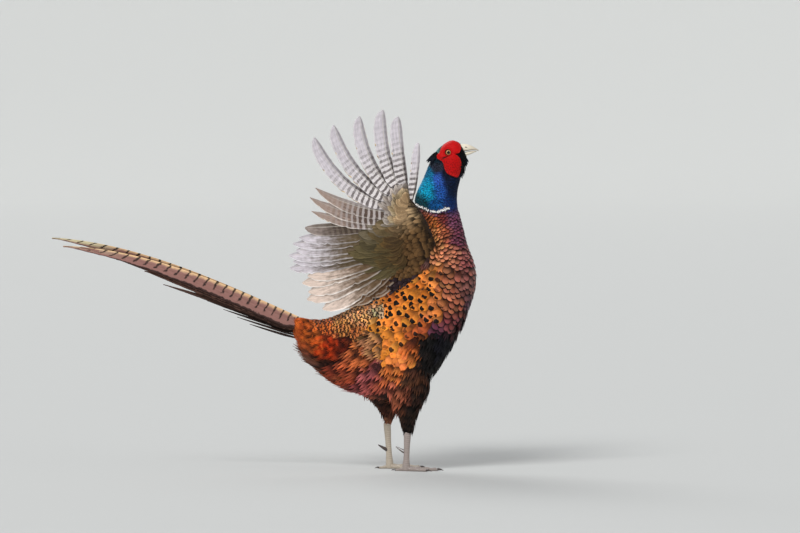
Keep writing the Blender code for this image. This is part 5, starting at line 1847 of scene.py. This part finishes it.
@dataclass
class Bill:
    """The bill's two halves, and the nostrils."""

    # Each is (top x, top z, low x, low z, half width).
    upper: tuple = (
        (291, 489.4, 296, 477.2, 6.8), (297, 489.3, 299.5, 477.8, 6.3), (303, 488.6, 304.5, 478.8, 5.6),
        (309, 486.5, 310, 479.7, 4.4), (315, 483, 315.5, 479.8, 2.8), (319.6, 479.9, 319.4, 478.4, 0.9),
    )
    lower: tuple = (
        (295, 476.5, 296.5, 470.8, 5.6), (300, 477.2, 301, 471.6, 5.3), (304.5, 478.2, 305, 472.8, 4.7),
        (310, 479, 310.3, 474.8, 3.4), (314.5, 479.1, 314.6, 476.9, 2.0), (316.8, 478.9, 316.8, 478, 0.8),
    )
    nostril: tuple = (300.4, 5.7, 484.4)
    colours: tuple = ("E4DCC8", "D0BCA6", "988C7A", "2E2620")  # ivory, its pink cast, the tip and the mouth's line
    points_round: int = 56

    def half(self, name: str, rows: tuple, up: bool, finish: Material) -> Object:
        """Makes one half, with a flattened edge along the mouth and a ridge along its back.

        Args:
            name: The piece's name.
            rows: Its sections.
            up: Whether it is the upper half.
            finish: Its material.

        Returns:
            The piece.
        """
        maker, rings, tints = MeshMaker(), [], []
        ivory, pink, tip, line = (linear(colour) for colour in self.colours)
        a = angles_round(self.points_round)
        across, along = np.sin(a), np.cos(a)
        cut = np.sign(along) * np.abs(along) ** (0.9 if up else 0.95)
        cut = np.maximum(cut, -0.93) if up else np.minimum(cut, 0.9)
        mouth = (along < -0.72) if up else (along > 0.66)
        for place in np.linspace(0, len(rows) - 1, 46):
            top_x, top_z, low_x, low_z, half = smooth_row(rows, place)
            middle = np.array([(top_x + low_x) / 2, 0, (top_z + low_z) / 2])
            long = np.array([(top_x - low_x) / 2, 0, (top_z - low_z) / 2])
            share = place / (len(rows) - 1)
            rings.append(middle + cut[:, None] * long + np.stack([0 * a, across * half, 0 * a], 1))
            tint = (ivory * (1 - share**2.2) + tip * share**2.2) * 0.9 + pink * 0.1
            # The faces along the mouth are painted dark: the shade in the slit where the halves meet.
            tints.append(np.where(mouth[:, None], line, tint))
        maker.loft(rings, ground=np.concatenate(tints))
        piece = maker.make(name, sharp=50.0)
        turns, steps = np.arange(len(a)) / len(a), np.arange(len(rings)) / len(rings)
        bake_map(piece, np.stack([np.tile(turns, len(rings)), np.repeat(steps, len(a))], 1) * 0.96 + 0.01)
        return dress(piece, finish, "horn", name.replace("horn", "bill"))

    def nostrils(self, finish: Material) -> Object:
        """Makes the nostril slits, painted dark as the shade inside them.

        Args:
            finish: Their material.

        Returns:
            The piece.
        """
        maker, (x, y, z), round_ = MeshMaker(), self.nostril, angles_round(16)
        for side in Side:
            rings = []
            for a in np.linspace(0, pi, 12)[1:-1]:
                along, out = cos(a) * 2.2, np.cos(round_) * sin(a) * 0.7
                tall = np.sin(round_) * sin(a) * 0.75
                rings.append(np.stack([np.full(16, x + along), side.value * (y + out), z + tall - along * 0.12], 1))
            maker.loft(rings, ground=linear("3A302A"))
        piece = maker.make("nostrils")
        points = np.concatenate(maker.points)
        bake_map(piece, (points[:, [0, 2]] - [296, 480]) / 10 + np.where(points[:, 1:2] > 0, 0.3, 0.0))
        return dress(piece, finish, "horn")


@dataclass
class Leg:
    """One bare shank and its foot: rows of horny scales over slim bones."""

    side: Side
    leg_y: float = 31.0
    hock: dict[Side, tuple] = field(default_factory=lambda: {Side.RIGHT: (212.8, 54.0), Side.LEFT: (182.6, 64.0)})
    ankle: dict[Side, tuple] = field(default_factory=lambda: {Side.RIGHT: (211.0, 9.0), Side.LEFT: (186.0, 9.0)})
    radii: tuple = (4.7, 4.3, 3.9, 3.8, 4.0, 4.9)
    deeper: float = 1.15
    joint: tuple = ((10.5, 4.9), (8.85, 4.9), (6, 5.2), (3, 5.4), (0.6, 4.9))
    # Each toe: its turn outwards in degrees, its length and its radius.
    toes: tuple = ((32, 33, 3.7), (0, 46, 4.1), (-34, 36, 3.7), (166, 16, 3.0))
    pad: float = 12.5
    swell: float = 0.09
    taper: float = 0.42
    # Both sorts of scale are drawn a little coarser than real, so that they show.
    scute: float = 3.1
    toe_scute: float = 2.6
    points_round: int = 48

    def tint(self, shade: float, scute: float) -> Array:
        """The colour of the horn, paler in the middle of each scale."""
        # The right leg is painted a darker horn than the left: one colour given as a shaded and a lit copy.
        ground = linear("968A84") if self.side is Side.RIGHT else linear("AEA292")
        return ground * (0.72 + 0.4 * scute) * shade * np.array([1, 1, 1, 0]) + np.array([0, 0, 0, 1])

    def shank(self, maker: MeshMaker) -> None:
        """Adds the shank, with broad scales down its front and small ones behind.

        Args:
            maker: What gathers the mesh.
        """
        (top_x, top_z), (low_x, low_z) = self.hock[self.side], self.ankle[self.side]
        a, radii = angles_round(self.points_round), np.array(self.radii)[:, None]
        front = np.cos(a) > -0.15
        rings, tints = [], []
        for z in np.arange(top_z + 4, low_z, -0.42):
            share = (top_z - z) / (top_z - low_z)
            x = top_x + (low_x - top_x) * share
            radius = smooth_row(radii, max(0.0, share) * (len(radii) - 1))[0]
            along = np.where(front, z / self.scute, z / self.scute * 1.7 + np.round(a * 3) * 0.5) % 1.0
            wide = radius - 0.12 + np.where(front, 0.3, 0.18) * (1 - along) ** 1.5
            rings.append(np.stack([x + wide * self.deeper * np.cos(a), self.side.value * self.leg_y + wide * np.sin(a),
                                   np.full(len(a), z)], 1))
            tints += [self.tint(1.0, 1 - s) for s in along]
        maker.loft(rings, ground=np.array(tints))

    def foot(self, maker: MeshMaker) -> None:
        """Adds the ankle and the toes, each with scales across its top and pads below.

        Args:
            maker: What gathers the mesh.
        """
        x0, y0 = self.ankle[self.side][0], self.side.value * self.leg_y
        a = angles_round(self.points_round)
        rings = [np.stack([x0 + r * 1.1 * np.cos(a), y0 + r * np.sin(a), np.full(len(a), z)], 1) for z, r in self.joint]
        maker.loft(rings, ground=self.tint(0.95, 0.6))
        top = np.sin(a) > 0.1
        for turn, length, radius in self.toes:
            angle = radians(-self.side.value * turn)
            way = np.array([cos(angle), sin(angle)])
            rings, tints = [], []
            for share in np.linspace(0, 1, int(length / 0.45)):
                pad = cos(2 * pi * length * share / self.pad)
                size = radius * (1 - self.taper * share) * (1 - self.swell * pad)
                if share > 0.97:
                    size *= 0.86
                along = (length * share / self.toe_scute) % 1.0
                lip = np.where(top, 0.28 * (1 - along) ** 1.4, 0.06 * np.sin(a * 9 + length * share * 3))
                wide = size - 0.1 + lip
                x, y = x0 + way[0] * length * share, y0 + way[1] * length * share
                z = np.maximum(size * 0.85 + wide * np.sin(a), 0.02)
                rings.append(np.stack([x - way[1] * wide * np.cos(a), y + way[0] * wide * np.cos(a), z], 1))
                tints += [self.tint(0.98, (1 - along) if t else 0.35) for t in top]
            maker.loft(rings, ground=np.array(tints))

    def make(self, finish: Material) -> None:
        """Makes the shank and the foot in place of their nodes.

        Args:
            finish: Their material.
        """
        for name, build in (("shank", self.shank), ("foot", self.foot)):
            maker = MeshMaker()
            build(maker)
            piece = maker.make(f"{name}_horn_{self.side.label}", sharp=60.0)
            points = np.concatenate(maker.points)
            if name == "shank":
                turn = np.arctan2(points[:, 1] - self.side.value * self.leg_y, points[:, 0] - 200)
                bake_map(piece, np.stack([turn / 7 + 0.5, points[:, 2] / 100], 1))
            else:
                below = np.where(points[:, 2] < 3.5, 0.5, 0.0)
                bake_map(piece, np.stack([(points[:, 0] - 160) / 110 * 0.96, (points[:, 1] + 80) / 340 + below], 1))
            dress(piece, finish, "skin", f"{name}_{self.side.label}")


@dataclass
class Tufts:
    """The dark pointed locks behind each ear and the ragged ones under the bill."""

    # Each lock's tuft: its root, how far out it is, its way back or forward and down, its length and its spread.
    places: tuple = (((259.0, 474.0), 12.0, (-1.0, -0.95), 21.0, 0.8), ((296.5, 467.0), 4.5, (0.7, -0.72), 10.0, -0.4))
    count: int = 9

    def make(self, finish: Material) -> Object:
        """Makes both sides' locks as one piece.

        Args:
            finish: Their material.

        Returns:
            The piece.
        """
        maker, rng = MeshMaker(), np.random.default_rng(13)
        angles = angles_round(10)
        round_, sag = angles[:, None], np.array([0, 0, 2.2])
        for ((x, z), out, (ahead, down), long, slope), side, k in product(self.places, Side, range(self.count)):
            spread = (k - (self.count - 1) / 2) / 2.0
            root = np.array([x + slope * spread, side.value * (out - 0.5 * abs(spread)), z - 1.6 * spread])
            way = unit(np.array([ahead, side.value * 0.2, down - 0.1 * spread]))
            flat = unit(np.array([0.1, side.value, -0.15]))
            across = unit(np.cross(way, flat))
            length = long * (0.72 + 0.3 * rng.random())
            rings, local = [], []
            for share in np.linspace(0, 1, 9):
                wide = 1.9 * sin(pi * min(0.5, share + 0.12)) * (1 - share**2.5) + 0.08
                centre = root + way * length * share + flat * (0.4 - 1.2 * share**2) - sag * share**2
                rings.append(centre + across * np.cos(round_) * wide + flat * np.sin(round_) * wide * 0.4)
                local += [(cos(a), share, 0.0) for a in angles]
            maker.loft(rings, local=np.array(local), ground=linear("0C1420"), mark=linear("05070C"), traits=(0, 0, 0))
        piece = maker.make("head_tufts")
        points = np.concatenate(maker.points)
        bake_map(piece, (points[:, [0, 2]] - [230, 440]) / 90 + np.where(points[:, 1:2] > 0, 0.45, 0.0))
        return dress(piece, finish, "blue_neck")


@dataclass
class Studio:
    """A pale seamless floor, soft lights and the camera at the photograph's angle."""

    aim: tuple = (0.20175, 0.0, 0.30525)
    distance: float = 12.0
    elevation: float = 2.0
    lens: float = 360.0
    floor_radius: float = 15000.0
    floor_bend: float = 3000.0
    floor_tall: float = 7000.0
    # Each lamp, a far broad softbox: the way its light goes, its spread in degrees and its strength.
    lamps: tuple = (
        ("key", (0.5, 1.0, -0.95), 24.0, 2.4), ("fill", (-1.0, 0.5, -0.35), 50.0, 0.4),
        ("rim", (0.5, -1.0, -0.8), 30.0, 1.2), ("bounce", (0.1, 1.0, 0.2), 60.0, 0.8),
    )

    def floor(self) -> None:
        """Makes the floor, a wide round of paper that curves up far beyond every camera."""
        maker, a = MeshMaker(), angles_round(96)
        flat, bend = self.floor_radius, self.floor_bend
        rows = [(20.0, 0.0), (1000.0, 0.0), (flat, 0.0)]
        rows += [(flat + bend * sin(b), bend * (1 - cos(b))) for b in np.linspace(0.1, pi / 2, 14)]
        rows += [(flat + bend, self.floor_tall)]
        rings = [np.stack([r * np.cos(a), r * np.sin(a), np.full(len(a), z - 0.05)], 1) for r, z in rows]
        maker.loft(rings, Ends.OPEN)
        maker.add(rings[0], [tuple(range(len(a)))])
        made = maker.make("studio_floor", outward=False)
        paper = bpy.data.materials.new("pale_paper")
        paper.use_nodes = True
        shader = paper.node_tree.nodes["Principled BSDF"]
        shader.inputs["Base Color"].default_value = linear("BBBCBA")
        shader.inputs["Roughness"].default_value = 0.9
        made.data.materials.append(paper)
        made.visible_shadow = False

    def make(self) -> None:
        """Makes the whole set."""
        self.floor()
        for name, way, spread, power in self.lamps:
            lamp = bpy.data.lights.new(name, "SUN")
            lamp.angle, lamp.energy = radians(spread), power
            linked(name, lamp).rotation_euler = Vector(way).to_track_quat("-Z", "Y").to_euler()
        world = bpy.data.worlds.new("studio")
        world.use_nodes = True
        colour, strength = world.node_tree.nodes["Background"].inputs[:2]
        colour.default_value, strength.default_value = linear("EEF1F6"), 0.5
        scene = bpy.context.scene
        scene.world = world
        scene.view_settings.view_transform = "Standard"
        lens = bpy.data.cameras.new("camera")
        lens.lens, lens.sensor_width, lens.clip_end = self.lens, 36.0, 100.0
        scene.camera = linked("camera", lens)
        rise, aim = radians(self.elevation), Vector(self.aim)
        scene.camera.location = aim + Vector((0, -cos(rise), sin(rise))) * self.distance
        scene.camera.rotation_euler = (aim - scene.camera.location).to_track_quat("-Z", "Y").to_euler()


def main() -> None:
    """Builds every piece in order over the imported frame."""
    logging.basicConfig(level=logging.INFO, format="%(message)s")
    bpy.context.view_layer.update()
    Studio().make()
    finishes = {
        # Skin under down: dull, and painted dark as the shade in the gaps between the feathers.
        "skin": TintFinish("downy_skin", 1.5, roughness=0.85).build(),
        # Thin layers in the barbs mirror light as a metal does, so the blues and greens shine.
        "silk": PlumeFinish("iridescent_neck_feathers", roughness=0.4, metallic=0.25, relief=0.3).build(),
        # Barbs that lie close give a soft gloss over copper and gold.
        "scale": PlumeFinish("glossy_body_feathers", roughness=0.45).build(),
        # Barbs that don't hook together: matt, ragged streaks.
        "hair": PlumeFinish("hairy_rump_feathers", roughness=0.6).build(),
        # Loose feathers with down at their base: soft-edged and the dullest of all.
        "shag": PlumeFinish("loose_downy_feathers", roughness=0.65).build(),
        # Stiff webs: barred matt barbs on both sides of a pale shaft.
        "flight": VaneFinish("wing_quills", every=8.0, slant=2.0, front_dark=0.85, streaks=0.7,
                             soft=0.35, rim=0.85).build(),
        # Smaller, softer webs with a dark shaft.
        "covert": VaneFinish("wing_coverts", every=4.0, slant=4.0, duty=0.3, shaft="3E2E1C", shaft_strength=0.5,
                             front_dark=0.8).build(),
        # Long webs with black bars over buff that turns to mauve below.
        "tail": VaneFinish("tail_quills", every=15.0, slant=-13.0, duty=0.2, shaft="7A5448", shaft_at=0.42,
                           shaft_strength=0.3, streaks=0.4, wash_across=True).build(),
        # Dry bare skin: a dull bright red, darker between its warts, which are drawn coarser than real.
        "face": TintFinish("bare_red_skin", 1.6, roughness=0.6, relief=0.45, contrast=1.1, specular=0.12,
                           pimples=True).build(),
        # Worn bill horn: smooth and faintly glossy, and it lets a little light in.
        "horn": TintFinish("ivory_horn", 2.0, roughness=0.35, coat=0.3, contrast=0.15, subsurface=0.1).build(),
        # Horny leg scales: dry, with a slight gloss.
        "scutes": TintFinish("scaled_leg_skin", 1.2, roughness=0.5, coat=0.1, contrast=0.2).build(),
        # A wet cornea: one small sharp highlight.
        "eye": EyeFinish().build(),
        # Claw horn, polished by wear: dark, with a soft shine.
        "claw": PlainFinish("dark_claw_horn", "4A3C36", "241C1A", 1.5, roughness=0.35, coat=0.3).build(),
    }
    trunk = Trunk()
    face = Face(trunk)
    wings = tuple(Wing(side) for side in Side)
    Plumage(trunk, tuple(Thigh(side) for side in Side), wings, face).make(finishes)
    for wing in wings:
        wing.flights(finishes["flight"])
        wing.coverts(finishes["covert"])
    Tail().make(finishes["tail"])
    for side in Side:
        face.plate(side, finishes["face"])
        face.eye(side, finishes["eye"])
        Leg(side).make(finishes["scutes"])
    bill = Bill()
    bill.half("horn_upper", bill.upper, True, finishes["horn"])
    bill.half("horn_lower", bill.lower, False, finishes["horn"])
    bill.nostrils(finishes["horn"])
    Tufts().make(finishes["silk"])
    for name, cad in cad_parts.items():
        if name.startswith(("claw_", "spur_")):
            cad.data.materials.clear()
            cad.data.materials.append(finishes["claw"])


if __name__ == "__main__":
    main()
